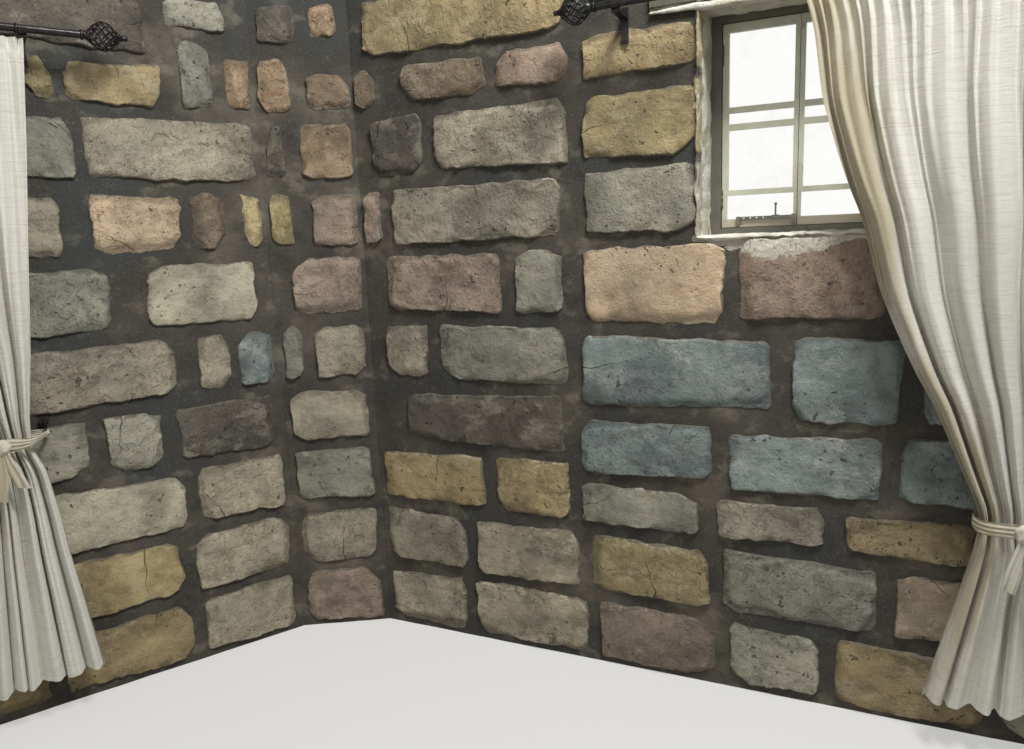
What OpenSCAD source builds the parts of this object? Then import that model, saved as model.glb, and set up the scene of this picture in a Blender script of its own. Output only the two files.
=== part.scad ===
// Stretch of a stone rondavel's many-sided wall: two window bays and the short side between them.
// Room side is -Y, outside is +Y, Z is up, the floor is at z = 0. Lengths are in millimetres.

/* [Wall] */
// length of a long side along its room face
bay_length = 3000; // [2400:50:3600]
// length of the short side along its room face
short_length = 340; // [250:10:600]
// turn of the wall at each corner, degrees
turn = 30; // [20:1:36]
// thickness of the stone wall
wall_t = 380; // [320:10:500]
// height of the wall from the floor
wall_h = 2600; // [2500:50:3000]

/* [Window] */
// clear width of the window opening
open_w = 540; // [480:10:900]
// clear height of the window opening
open_h = 680; // [600:10:700]
// distance from the room face to the window frame
set_back = 200; // [120:5:230]
// depth of the window frame
frame_d = 60; // [50:5:80]
// face width of the frame's head and sill members
frame_w = 34; // [26:1:42]
// face width of the frame's jambs
jamb_w = 46; // [30:1:60]
// face width of a leaf's hinge stile
stile_w = 19; // [17:1:40]
// face width of a leaf's rails
rail_w = 26; // [22:1:36]
// face width of a leaf's meeting stile
meet_w = 14; // [12:1:24]
// thickness of the panes
glass_t = 4; // [3:1:6]
// heights of the three cross bars above the sill
bar_heights = [137, 341, 393];
// face widths of the three cross bars
bar_widths = [17, 19, 18];

/* [Lintel and sill] */
// depth of the lintel
lintel_h = 200; // [150:10:240]
// height of the wall above the lintel
over_h = 240; // [180:10:400]
// bearing of the lintel each side of the opening
lintel_bearing = 140; // [100:10:200]
// overhang of the outside sill past the wall face
sill_drip = 45; // [30:5:60]

/* [Curtain pole] */
// diameter of the pole
pole_dia = 22; // [18:1:30]
// length of the pole between its finials
pole_len = 1500; // [1300:50:1800]
// depth of the pole's centre line below the head of the opening
pole_drop = 0; // [0:5:40]
// distance of the pole's centre line from the wall
pole_off = 100; // [80:5:120]
// shift of the pole towards the side where the curtain is drawn
pole_shift = 205; // [100:5:300]
// distance of the first bracket from the pole's end
start_in = 60; // [30:5:80]
// distance of the second bracket from the pole's other end
end_in = 150; // [125:5:170]
// width of the brackets' flat iron
strap_iron = 22; // [14:1:26]
// diameter of the basket at its widest
basket_dia = 90; // [80:2:110]
// length of the basket
basket_len = 86; // [80:2:100]
// number of straps in each direction of the basket
strap_count = 9; // [6:1:10]
// inner diameter of a curtain ring
ring_bore = 32; // [30:1:40]
// number of curtain rings
ring_count = 7; // [5:1:9]

/* [Curtain] */
// width of the curtain's heading
curtain_w = 790; // [600:10:900]
// depth of the gathered folds
curtain_d = 96; // [60:2:100]
// width of the curtain where it is tied
waist_w = 180; // [120:5:220]
// height of the middle of the right bay's tie band
right_waist_z = 700; // [600:10:1000]
// height of the middle of the left bay's tie band
left_waist_z = 950; // [600:10:1000]
// height of the curtain's hem above the floor
hem_z = 150; // [50:10:300]
// height of the tie band
band_h = 46; // [30:2:60]

/* [Hidden] */
$fn = 48;
half = turn / 2;
mitre = wall_t * tan(half);
win_a = (bay_length - open_w) / 2;
win_b = (bay_length + open_w) / 2;
lintel_top = wall_h - over_h;
head_z = lintel_top - lintel_h;
sill_z = head_z - open_h;
pole_z = head_z - pole_drop;
// plan of the whole, used to put the origin under the middle of its box
end_y = -bay_length * sin(turn);
end_x = short_length / 2 + bay_length * cos(turn) + mitre * cos(turn) + wall_t * sin(turn);
reach_x = short_length / 2 + bay_length * cos(turn);
half_x = max(end_x, reach_x);
room_y = -bay_length * sin(turn);
back_y = wall_t;
mid_y = (room_y + back_y) / 2;
// window parts, measured inwards from the opening
leaf_gap = 2;
rebate = 8;
leaf_w = (open_w - 2 * jamb_w + 2 * rebate - 3 * leaf_gap) / 2;
leaf_h = open_h - 2 * frame_w + 2 * rebate - 2 * leaf_gap;
leaf_d = 30;
leaf_y = set_back + 12;
leaf_x0 = win_a + jamb_w - rebate + leaf_gap;
leaf_z0 = sill_z + frame_w - rebate + leaf_gap;
glaze_lap = 8;
slim = 4;
bar_d = 14;
// pole parts
pole_a = bay_length / 2 + pole_shift - pole_len / 2;
pole_b = pole_a + pole_len;
collar_len = 20;
tip_len = 26;
strap_w = 6;
strap_t = 3;
// curtain parts
wire = 4;
ring_r = ring_bore / 2;
ring_z = pole_z + pole_dia / 2 + .2 - ring_r;
heading_z = ring_z - ring_r - wire - .2;
curtain_b = pole_b - 145;
curtain_a = curtain_b - curtain_w;
waist_b = curtain_b - 130;
waist_a = waist_b - waist_w;
front_y = -pole_off - curtain_d / 2;
back_face = -pole_off + curtain_d / 2;

// puts a bay's parts in place: x runs along the room face to the right, y points outside
module right_bay() {
  translate([short_length / 2, -mid_y, 0]) rotate([0, 0, -turn]) children();
}

module left_bay() {
  translate([-short_length / 2, -mid_y, 0]) rotate([0, 0, turn]) translate([-bay_length, 0, 0]) children();
}

// box between two corners
module block(a, b) {
  translate(a) cube(b - a);
}

// recess that the lintel lies in
module lintel_seat() {
  block([win_a - lintel_bearing, -1, head_z], [win_b + lintel_bearing, wall_t + 1, lintel_top]);
}

module corner_wall() {
  color([.52, .49, .42]) translate([0, -mid_y, 0]) linear_extrude(wall_h)
    polygon([[-short_length / 2, 0], [short_length / 2, 0],
             [short_length / 2 + mitre, wall_t], [-short_length / 2 - mitre, wall_t]]);
}

module near_pier() {
  color([.55, .52, .44]) difference() {
    linear_extrude(wall_h) polygon([[0, 0], [win_a, 0], [win_a, wall_t], [-mitre, wall_t]]);
    lintel_seat();
  }
}

module far_pier() {
  color([.55, .52, .44]) difference() {
    linear_extrude(wall_h)
      polygon([[win_b, 0], [bay_length, 0], [bay_length + mitre, wall_t], [win_b, wall_t]]);
    lintel_seat();
  }
}

// wall below the window, its top weathered outside where the sill lies
module under_wall() {
  color([.55, .52, .44]) difference() {
    block([win_a, 0, 0], [win_b, wall_t, sill_z]);
    block([win_a - 1, set_back + frame_d, sill_z - 50], [win_b + 1, wall_t + 1, sill_z + 1]);
  }
}

module over_wall() {
  color([.55, .52, .44]) block([win_a, 0, lintel_top], [win_b, wall_t, wall_h]);
}

module lintel() {
  color([.62, .6, .55])
    block([win_a - lintel_bearing, 0, head_z], [win_b + lintel_bearing, wall_t, lintel_top]);
}

// outside sill: level bed, sloped top and a groove under its nose
module outer_sill() {
  top = sill_z - 50;
  color([.62, .6, .55]) difference() {
    translate([win_a, 0, 0]) rotate([90, 0, 90]) linear_extrude(open_w)
      polygon([[set_back + frame_d, top], [wall_t + sill_drip, top],
               [wall_t + sill_drip, top + 28], [set_back + frame_d, sill_z]]);
    block([win_a - 1, wall_t + sill_drip - 22, top - 1], [win_b + 1, wall_t + sill_drip - 12, top + 8]);
  }
}

// fixed frame: wide jambs, slim head and sill, with a rebate for the leaves on the room side
module window_frame() {
  y0 = set_back;
  y1 = set_back + frame_d;
  color([.3, .27, .23]) difference() {
    block([win_a, y0, sill_z], [win_b, y1, head_z]);
    block([win_a + jamb_w, y0 - 1, sill_z + frame_w], [win_b - jamb_w, y1 + 1, head_z - frame_w]);
    block([win_a + jamb_w - rebate, y0 - 1, sill_z + frame_w - rebate],
          [win_b - jamb_w + rebate, leaf_y + leaf_d, head_z - frame_w + rebate]);
  }
}

// one casement leaf from x0, with its left and right stiles' widths; slimmer below the lowest bar
module leaf(x0, left_w, right_w) {
  z0 = leaf_z0;
  x1 = x0 + leaf_w;
  z1 = z0 + leaf_h;
  y1 = leaf_y + leaf_d;
  low_bar = sill_z + bar_heights[0];
  color([.62, .64, .56]) {
    difference() {
      block([x0, leaf_y, z0], [x1, y1, z1]);
      block([x0 + left_w, leaf_y - 1, z0 + rail_w], [x1 - right_w, y1 + 1, z1 - rail_w]);
      block([x0 + left_w - slim, leaf_y - 1, z0 + rail_w], [x1 - right_w + slim, y1 + 1, low_bar]);
      block([x0 + left_w - glaze_lap, leaf_y + bar_d, z0 + rail_w - glaze_lap],
            [x1 - right_w + glaze_lap, y1 + 1, z1 - rail_w + glaze_lap]);
    }
    for (i = [0 : len(bar_heights) - 1])
      translate([x0 + left_w - slim - 1, leaf_y, sill_z + bar_heights[i] - bar_widths[i] / 2])
        cube([leaf_w - left_w - right_w + 2 * slim + 2, bar_d, bar_widths[i]]);
  }
}

module hung_leaf() {
  leaf(leaf_x0, stile_w, meet_w);
}

module slave_leaf() {
  leaf(leaf_x0 + leaf_w + leaf_gap, meet_w, stile_w);
}

// pane lying in the rebate behind the bars
module pane(x0, left_w, right_w) {
  color([.8, .88, .9, .5])
    block([x0 + left_w - glaze_lap, leaf_y + bar_d, leaf_z0 + rail_w - glaze_lap],
          [x0 + leaf_w - right_w + glaze_lap, leaf_y + bar_d + glass_t,
           leaf_z0 + leaf_h - rail_w + glaze_lap]);
}

module hung_glass() {
  pane(leaf_x0, stile_w, meet_w);
}

module slave_glass() {
  pane(leaf_x0 + leaf_w + leaf_gap, meet_w, stile_w);
}

// peg stay: holed bar above the bottom rail, a foot at each end, the upright peg and its knob
module peg_stay() {
  z0 = leaf_z0 + rail_w - 4;
  x0 = leaf_x0 + 50;
  x1 = leaf_x0 + leaf_w - 8;
  peg = x1 - 54;
  y0 = leaf_y - 8;
  color([.22, .21, .2]) {
    difference() {
      block([x0, y0, z0], [x1, y0 + 4, z0 + 10]);
      for (i = [1 : 4])
        translate([x0 + i * 20, y0 + 5, z0 + 5]) rotate([90, 0, 0]) cylinder(h = 6, d = 5);
    }
    block([x0 - 4, y0 - 1, z0 - 16], [x0 + 8, leaf_y, z0 + 11]);
    block([x1 - 6, y0 - 2, z0 - 18], [x1 + 6, leaf_y, z0 + 13]);
    block([peg - 11, y0 - 1.5, z0 - 2], [peg + 11, y0 + 5, z0 + 12]);
    translate([peg, y0 + 1.8, z0 + 11]) cylinder(h = 34, d = 5.4);
    translate([peg, y0 + 1.8, z0 + 46]) sphere(d = 9, $fn = 24);
  }
}

module pole() {
  color([.09, .09, .09])
    translate([pole_a, -pole_off, pole_z]) rotate([0, 90, 0]) cylinder(h = pole_len, d = pole_dia);
}

// wall strap with two screw heads, arm and open cup under the pole
module bracket(x) {
  w = strap_iron;
  t = 4;
  r = pole_dia / 2 + .2;
  color([.1, .1, .1]) {
    block([x - w / 2, -t, pole_z - 92], [x + w / 2, 0, pole_z + 12]);
    for (z = [pole_z - 82, pole_z + 2])
      translate([x, -t + .5, z]) rotate([90, 0, 0]) cylinder(h = 2.5, d = 8);
    difference() {
      union() {
        block([x - w / 2, -pole_off, pole_z - r - 12], [x + w / 2, -t + 1, pole_z - r - 3]);
        translate([x - w / 2, -pole_off, pole_z]) rotate([0, 90, 0]) cylinder(h = w, r = r + 5);
      }
      translate([x - w, -pole_off, pole_z]) rotate([0, 90, 0]) cylinder(h = 2 * w, r = r);
      block([x - w, -pole_off - r - 6, pole_z + 3], [x + w, -pole_off + r + 6, pole_z + r + 6]);
    }
  }
}

module start_bracket() {
  bracket(pole_a + start_in);
}

module end_bracket() {
  bracket(pole_b - end_in);
}

// radius of the basket at a share u of its length, and the four edge points of a strap there
function basket_r(u) = 9 + (basket_dia / 2 - 9 - strap_t / 2) * sin(180 * (.06 + .88 * u));
function strap_ring(u, a, way, sink) = let (
    r = basket_r(u) - sink,
    g = a + way * 150 * u,
    da = strap_w / 2 / r * 57.3,
    z = basket_len * u)
  [[(r - strap_t) * cos(g - da), (r - strap_t) * sin(g - da), z],
   [r * cos(g - da), r * sin(g - da), z],
   [r * cos(g + da), r * sin(g + da), z],
   [(r - strap_t) * cos(g + da), (r - strap_t) * sin(g + da), z]];

// one strap of the basket, winding way = 1 or -1 about z
module strap(a, way, sink) {
  n = 9;
  pts = [for (i = [0 : n]) each strap_ring(i / n, a, way, sink)];
  sides = [for (i = [0 : n - 1]) for (k = [0 : 3]) let (
      p = 4 * i + k,
      q = 4 * i + (k + 1) % 4)
    each [[p, p + 4, q], [q, p + 4, q + 4]]];
  ends = [[0, 1, 2], [0, 2, 3], [4 * n + 2, 4 * n + 1, 4 * n], [4 * n + 3, 4 * n + 2, 4 * n]];
  polyhedron(points = pts, faces = concat(sides, ends), convexity = 6);
}

// finial along +z: collar, lattice basket of crossing straps, end cap and pointed tip
module finial() {
  color([.09, .09, .09]) {
    cylinder(h = 8, d = pole_dia + 8);
    translate([0, 0, 7]) cylinder(h = collar_len - 5, d1 = pole_dia + 2, d2 = 38);
    translate([0, 0, collar_len]) {
      for (i = [0 : strap_count - 1]) {
        strap(i * 360 / strap_count, 1, 0);
        strap(i * 360 / strap_count, -1, .9);
      }
    }
    translate([0, 0, collar_len + basket_len - 6]) cylinder(h = 16, d1 = 40, d2 = 17);
    translate([0, 0, collar_len + basket_len + 9]) cylinder(h = tip_len - 15, d = 15);
    translate([0, 0, collar_len + basket_len + tip_len - 7]) sphere(d = 17, $fn = 32);
  }
}

module start_finial() {
  translate([pole_a, -pole_off, pole_z]) rotate([0, -90, 0]) finial();
}

module end_finial() {
  translate([pole_b, -pole_off, pole_z]) rotate([0, 90, 0]) finial();
}

// rings hanging on the pole above the curtain's heading
module rings() {
  step = (curtain_w - 40) / (ring_count - 1);
  color([.1, .1, .1]) for (i = [0 : ring_count - 1])
    translate([curtain_a + 20 + i * step, -pole_off, ring_z]) rotate([0, 90, 0])
      rotate_extrude($fn = 36) translate([ring_r + wire / 2, 0]) circle(d = wire, $fn = 12);
}

// gathered curtain, plain: heading, sweep of the leading edge to the tied waist, flare to the hem
module curtain(waist_z) {
  wa = waist_z + band_h / 2 + 6;
  wb = waist_z - band_h / 2 - 6;
  drop = heading_z - wa;
  reach = waist_a - curtain_a;
  color([.85, .82, .73]) translate([0, back_face, 0]) rotate([90, 0, 0]) linear_extrude(curtain_d)
    polygon([[curtain_a, heading_z], [curtain_a + .1 * reach, heading_z - .13 * drop],
             [curtain_a + .35 * reach, heading_z - .43 * drop],
             [curtain_a + .56 * reach, heading_z - .66 * drop],
             [curtain_a + .8 * reach, heading_z - .83 * drop], [waist_a, wa], [waist_a, wb],
             [waist_a - 110, hem_z], [waist_b + 110, hem_z], [waist_b, wb], [waist_b, wa],
             [curtain_b - 70, heading_z - .55 * drop], [curtain_b, heading_z]]);
}

// band round the waist, drawn out to the hook on the wall
module tie_band(waist_z) {
  color([.84, .8, .71]) translate([0, 0, waist_z - band_h / 2]) linear_extrude(band_h) difference() {
    polygon([[waist_a - 4, front_y - 4], [waist_b + 4, front_y - 4], [waist_b + 48, -34],
             [waist_b + 48, -10], [waist_b + 20, -10], [waist_a - 4, back_face + 4]]);
    polygon([[waist_a, front_y], [waist_b, front_y], [waist_b + 44, -36],
             [waist_b + 44, -14], [waist_b + 22, -14], [waist_a, back_face]]);
  }
}

// hook: round wall plate, stem through the end of the band, and its upturned end
module tie_hook(waist_z) {
  x = waist_b + 41.2;
  z = waist_z + band_h / 2;
  color([.1, .1, .1]) {
    translate([x, 0, z + 12]) rotate([90, 0, 0]) cylinder(h = 4, d = 30);
    translate([x, -3, z + 12]) rotate([90, 0, 0]) cylinder(h = 22, d = 8);
    translate([x, -25, z - 30]) cylinder(h = 42, d = 5);
  }
}

corner_wall();
right_bay() near_pier();  // right_near_pier
right_bay() far_pier();  // right_far_pier
right_bay() under_wall();  // right_under_wall
right_bay() over_wall();  // right_over_wall
right_bay() lintel();  // right_lintel
right_bay() outer_sill();  // right_outer_sill
right_bay() window_frame();  // right_window_frame
right_bay() hung_leaf();  // right_hung_leaf
right_bay() slave_leaf();  // right_slave_leaf
right_bay() hung_glass();  // right_hung_glass
right_bay() slave_glass();  // right_slave_glass
right_bay() peg_stay();  // right_peg_stay
right_bay() pole();  // right_pole
right_bay() start_bracket();  // right_start_bracket
right_bay() end_bracket();  // right_end_bracket
right_bay() start_finial();  // right_start_finial
right_bay() end_finial();  // right_end_finial
right_bay() rings();  // right_rings
right_bay() curtain(right_waist_z);  // right_curtain
right_bay() tie_band(right_waist_z);  // right_tie_band
right_bay() tie_hook(right_waist_z);  // right_tie_hook
left_bay() near_pier();  // left_near_pier
left_bay() far_pier();  // left_far_pier
left_bay() under_wall();  // left_under_wall
left_bay() over_wall();  // left_over_wall
left_bay() lintel();  // left_lintel
left_bay() outer_sill();  // left_outer_sill
left_bay() window_frame();  // left_window_frame
left_bay() hung_leaf();  // left_hung_leaf
left_bay() slave_leaf();  // left_slave_leaf
left_bay() hung_glass();  // left_hung_glass
left_bay() slave_glass();  // left_slave_glass
left_bay() peg_stay();  // left_peg_stay
left_bay() pole();  // left_pole
left_bay() start_bracket();  // left_start_bracket
left_bay() end_bracket();  // left_end_bracket
left_bay() start_finial();  // left_start_finial
left_bay() end_finial();  // left_end_finial
left_bay() rings();  // left_rings
left_bay() curtain(left_waist_z);  // left_curtain
left_bay() tie_band(left_waist_z);  // left_tie_band
left_bay() tie_hook(left_waist_z);  // left_tie_hook
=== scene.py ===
"""Looks of a stretch of stone rondavel wall with two casement windows, curtain poles and curtains.

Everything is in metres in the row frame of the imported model. Each bay also has a local frame: x runs along
its room face to the right, y points outside, and z is up from the floor.
"""

import logging
import math
from dataclasses import dataclass, field, replace
from enum import Enum
from typing import Callable, Sequence

import bpy
import numpy as np
from mathutils import Matrix, Vector

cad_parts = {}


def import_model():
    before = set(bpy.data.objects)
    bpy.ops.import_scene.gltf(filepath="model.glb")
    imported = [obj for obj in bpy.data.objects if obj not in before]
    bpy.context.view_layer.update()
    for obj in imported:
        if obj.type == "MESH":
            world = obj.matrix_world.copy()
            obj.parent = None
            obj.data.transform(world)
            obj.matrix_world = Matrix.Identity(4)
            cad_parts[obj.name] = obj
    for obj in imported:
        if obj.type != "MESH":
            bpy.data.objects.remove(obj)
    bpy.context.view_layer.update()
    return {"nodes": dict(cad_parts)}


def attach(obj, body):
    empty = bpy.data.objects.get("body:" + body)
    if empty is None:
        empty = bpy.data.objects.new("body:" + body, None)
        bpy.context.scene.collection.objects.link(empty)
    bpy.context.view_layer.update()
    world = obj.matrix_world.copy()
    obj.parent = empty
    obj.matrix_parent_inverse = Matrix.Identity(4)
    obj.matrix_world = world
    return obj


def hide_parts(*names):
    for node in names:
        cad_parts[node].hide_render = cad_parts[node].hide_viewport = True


log = logging.getLogger("rondavel_wall")

Array = np.ndarray
Draws = np.random.Generator
Marks = dict[str, Array | float]
Outline = Sequence[tuple[float, float]]
Socket = bpy.types.NodeSocket
Material = bpy.types.Material
Piece = bpy.types.Object
Colour = tuple[float, float, float, float]
Hole = tuple[float, float, float, float]

PLAN_DEPTH = 0.56
SHORT_LENGTH = 0.34
BAY_LENGTH = 3.0
WALL_T = 0.38
WALL_H = 2.6
TURN = math.radians(30)
MITRE = math.tan(TURN / 2)
MITRE_REACH = WALL_T * MITRE
WIN_A = 1.23
WIN_B = 1.77
SILL_Z = 1.48
HEAD_Z = 2.16
LINTEL_TOP = 2.36
LINTEL_BEARING = 0.14
SET_BACK = 0.2


class Tone(Enum):
    """Colours that the sandstone blocks are sorted by, as sRGB out of 255."""

    TAN = (142, 127, 94)
    OLIVE = (143, 130, 96)
    PEACH = (160, 143, 120)
    PALE = (136, 130, 113)
    CREAM = (148, 145, 127)
    GREEN = (127, 126, 113)
    BLUE = (109, 119, 117)
    PINK = (128, 114, 101)
    RED = (132, 115, 101)
    DARK = (84, 79, 70)
    BROWN = (107, 94, 77)
    ORANGE = (143, 122, 97)


class Side(Enum):
    """Which long side of the wall a bay stands on."""

    RIGHT = "right"
    LEFT = "left"


class Arris(Enum):
    """Upright edge of the wall that stones run round, or NONE where a face meets another inside a corner."""

    NONE = 0
    RIGHT_CORNER = 1
    LEFT_CORNER = 2
    RIGHT_END = 3
    LEFT_END = 4


def srgb(*channels: float) -> Colour:
    """Turns an sRGB colour out of 255 into the linear colour that a shader takes.

    Args:
        channels: red, green and blue from 0 to 255.

    Returns:
        The linear colour with alpha 1.
    """
    shares = [channel / 255 for channel in channels]
    linear = [share / 12.92 if share <= 0.04045 else ((share + 0.055) / 1.055) ** 2.4 for share in shares]
    return (*linear, 1.0)


def tinted(colour: Colour, share: float | Sequence[float], lift: float = 0.0) -> Colour:
    """A colour times one share or four, with a lift added, held from 0 to 1."""
    return tuple(np.clip(np.array(colour) * share + lift, 0, 1))


@dataclass
class Roughness:
    """Seeded lattice noise that is smooth in two directions.

    Attributes:
        seed: picks the lattice, so a run always gives the same one.
    """

    SIZE = 256

    seed: int
    lattice: Array = field(init=False)

    def __post_init__(self) -> None:
        """Fills the lattice with values from -1 to 1."""
        self.lattice = np.random.default_rng(self.seed).random((self.SIZE, self.SIZE)) * 2 - 1

    def single(self, across: Array, up: Array) -> Array:
        """One layer of noise with cells one unit wide.

        Args:
            across: positions in cells.
            up: positions in cells.

        Returns:
            Values from -1 to 1.
        """
        col = np.floor(across).astype(int)
        row = np.floor(up).astype(int)
        fx = across - col
        fz = up - row
        fx = fx * fx * fx * (fx * (fx * 6 - 15) + 10)
        fz = fz * fz * fz * (fz * (fz * 6 - 15) + 10)
        level = []
        for above in (row % self.SIZE, (row + 1) % self.SIZE):
            left = self.lattice[col % self.SIZE, above]
            level.append(left * (1 - fx) + self.lattice[(col + 1) % self.SIZE, above] * fx)
        return level[0] * (1 - fz) + level[1] * fz

    def layers(self, across: Array, up: Array, size: float, count: int = 3) -> Array:
        """Several layers of noise, each finer and fainter than the last.

        Args:
            across: positions in metres.
            up: positions in metres.
            size: width of the coarsest cells in metres.
            count: number of layers.

        Returns:
            Values from about -1 to 1.
        """
        total = np.zeros(np.broadcast(across, up).shape)
        weight = 1.0
        for layer in range(count):
            scale = 2.03**layer / size
            total = total + weight * self.single(across * scale + 17.3 * layer, up * scale + 5.7 * layer)
            weight *= 0.5
        return total / (2 - 0.5 ** (count - 1))


def smooth_step(value: Array) -> Array:
    """Eases values from 0 to 1 and holds them there outside that range."""
    held = np.clip(value, 0, 1)
    return held * held * (3 - 2 * held)


@dataclass
class Sheaf:
    """Gathers vertices, faces and their finishes until one mesh is made of them.

    Attributes:
        points: arrays of vertex positions.
        quads: arrays of vertex numbers, four a face.
        finishes: arrays of material numbers, one a face.
        marks: arrays of values for the shaders, one a vertex, by the names in MARKS.
    """

    MARKS = {
        "rim": 0.0, "height": 0.5, "shade": 0.5, "flake": 0.0,
        "lime": 0.0, "rough": 0.5, "crack": 1.0, "reach": 1.0,
    }

    points: list[Array] = field(default_factory=list)
    quads: list[Array] = field(default_factory=list)
    finishes: list[Array] = field(default_factory=list)
    marks: dict[str, list[Array]] = field(default_factory=dict)
    total: int = 0

    def add_grid(
        self,
        grid: Array,
        finish: int = 0,
        marks: Marks | None = None,
        flip: bool = False,
        closed: bool = False,
    ) -> None:
        """Adds a grid of points as quads.

        Args:
            grid: points as an array of rows, columns and x, y, z.
            finish: number of the material.
            marks: values for the shaders, at each point or the same all over.
            flip: turns the faces round.
            closed: joins the last column to the first.
        """
        rows, cols = grid.shape[:2]
        number = np.arange(rows * cols).reshape(rows, cols) + self.total
        if closed:
            number = np.concatenate([number, number[:, :1]], axis=1)
        corners = [number[:-1, :-1], number[:-1, 1:], number[1:, 1:], number[1:, :-1]]
        if flip:
            corners.reverse()
        quads = np.stack(corners, axis=-1).reshape(-1, 4)
        self.points.append(grid.reshape(-1, 3))
        self.quads.append(quads)
        self.finishes.append(np.full(len(quads), finish))
        for name, usual in self.MARKS.items():
            value = (marks or {}).get(name, usual)
            self.marks.setdefault(name, []).append(np.broadcast_to(value, (rows, cols)).reshape(-1))
        self.total += rows * cols

    def to_object(self, name: str, materials: Sequence[Material]) -> Piece:
        """Makes one smooth-shaded mesh object of all that was added.

        Args:
            name: name of the object.
            materials: its materials, in the order of the finish numbers.

        Returns:
            The new object, linked to the scene.
        """
        mesh = bpy.data.meshes.new(name)
        points = np.concatenate(self.points)
        quads = np.concatenate(self.quads)
        mesh.from_pydata(points.tolist(), [], quads.tolist())
        for material in materials:
            mesh.materials.append(material)
        mesh.polygons.foreach_set("material_index", np.concatenate(self.finishes).astype(np.int32))
        for name_of_mark, values in self.marks.items():
            layer = mesh.attributes.new(name_of_mark, "FLOAT", "POINT")
            layer.data.foreach_set("value", np.concatenate(values).astype(np.float32))
        mesh.polygons.foreach_set("use_smooth", np.full(len(quads), True))
        mesh.update()
        piece = bpy.data.objects.new(name, mesh)
        bpy.context.scene.collection.objects.link(piece)
        return piece


def keep(piece: Piece, nodes: Sequence[str] = ()) -> None:
    """Fixes a piece to the wall and hides the nodes that it stands for.

    Args:
        piece: the finished piece.
        nodes: CAD nodes that it replaces.
    """
    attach(piece, "root")
    if nodes:
        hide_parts(*nodes)
    log.info("%s: %d faces", piece.name, len(piece.data.polygons))


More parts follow.
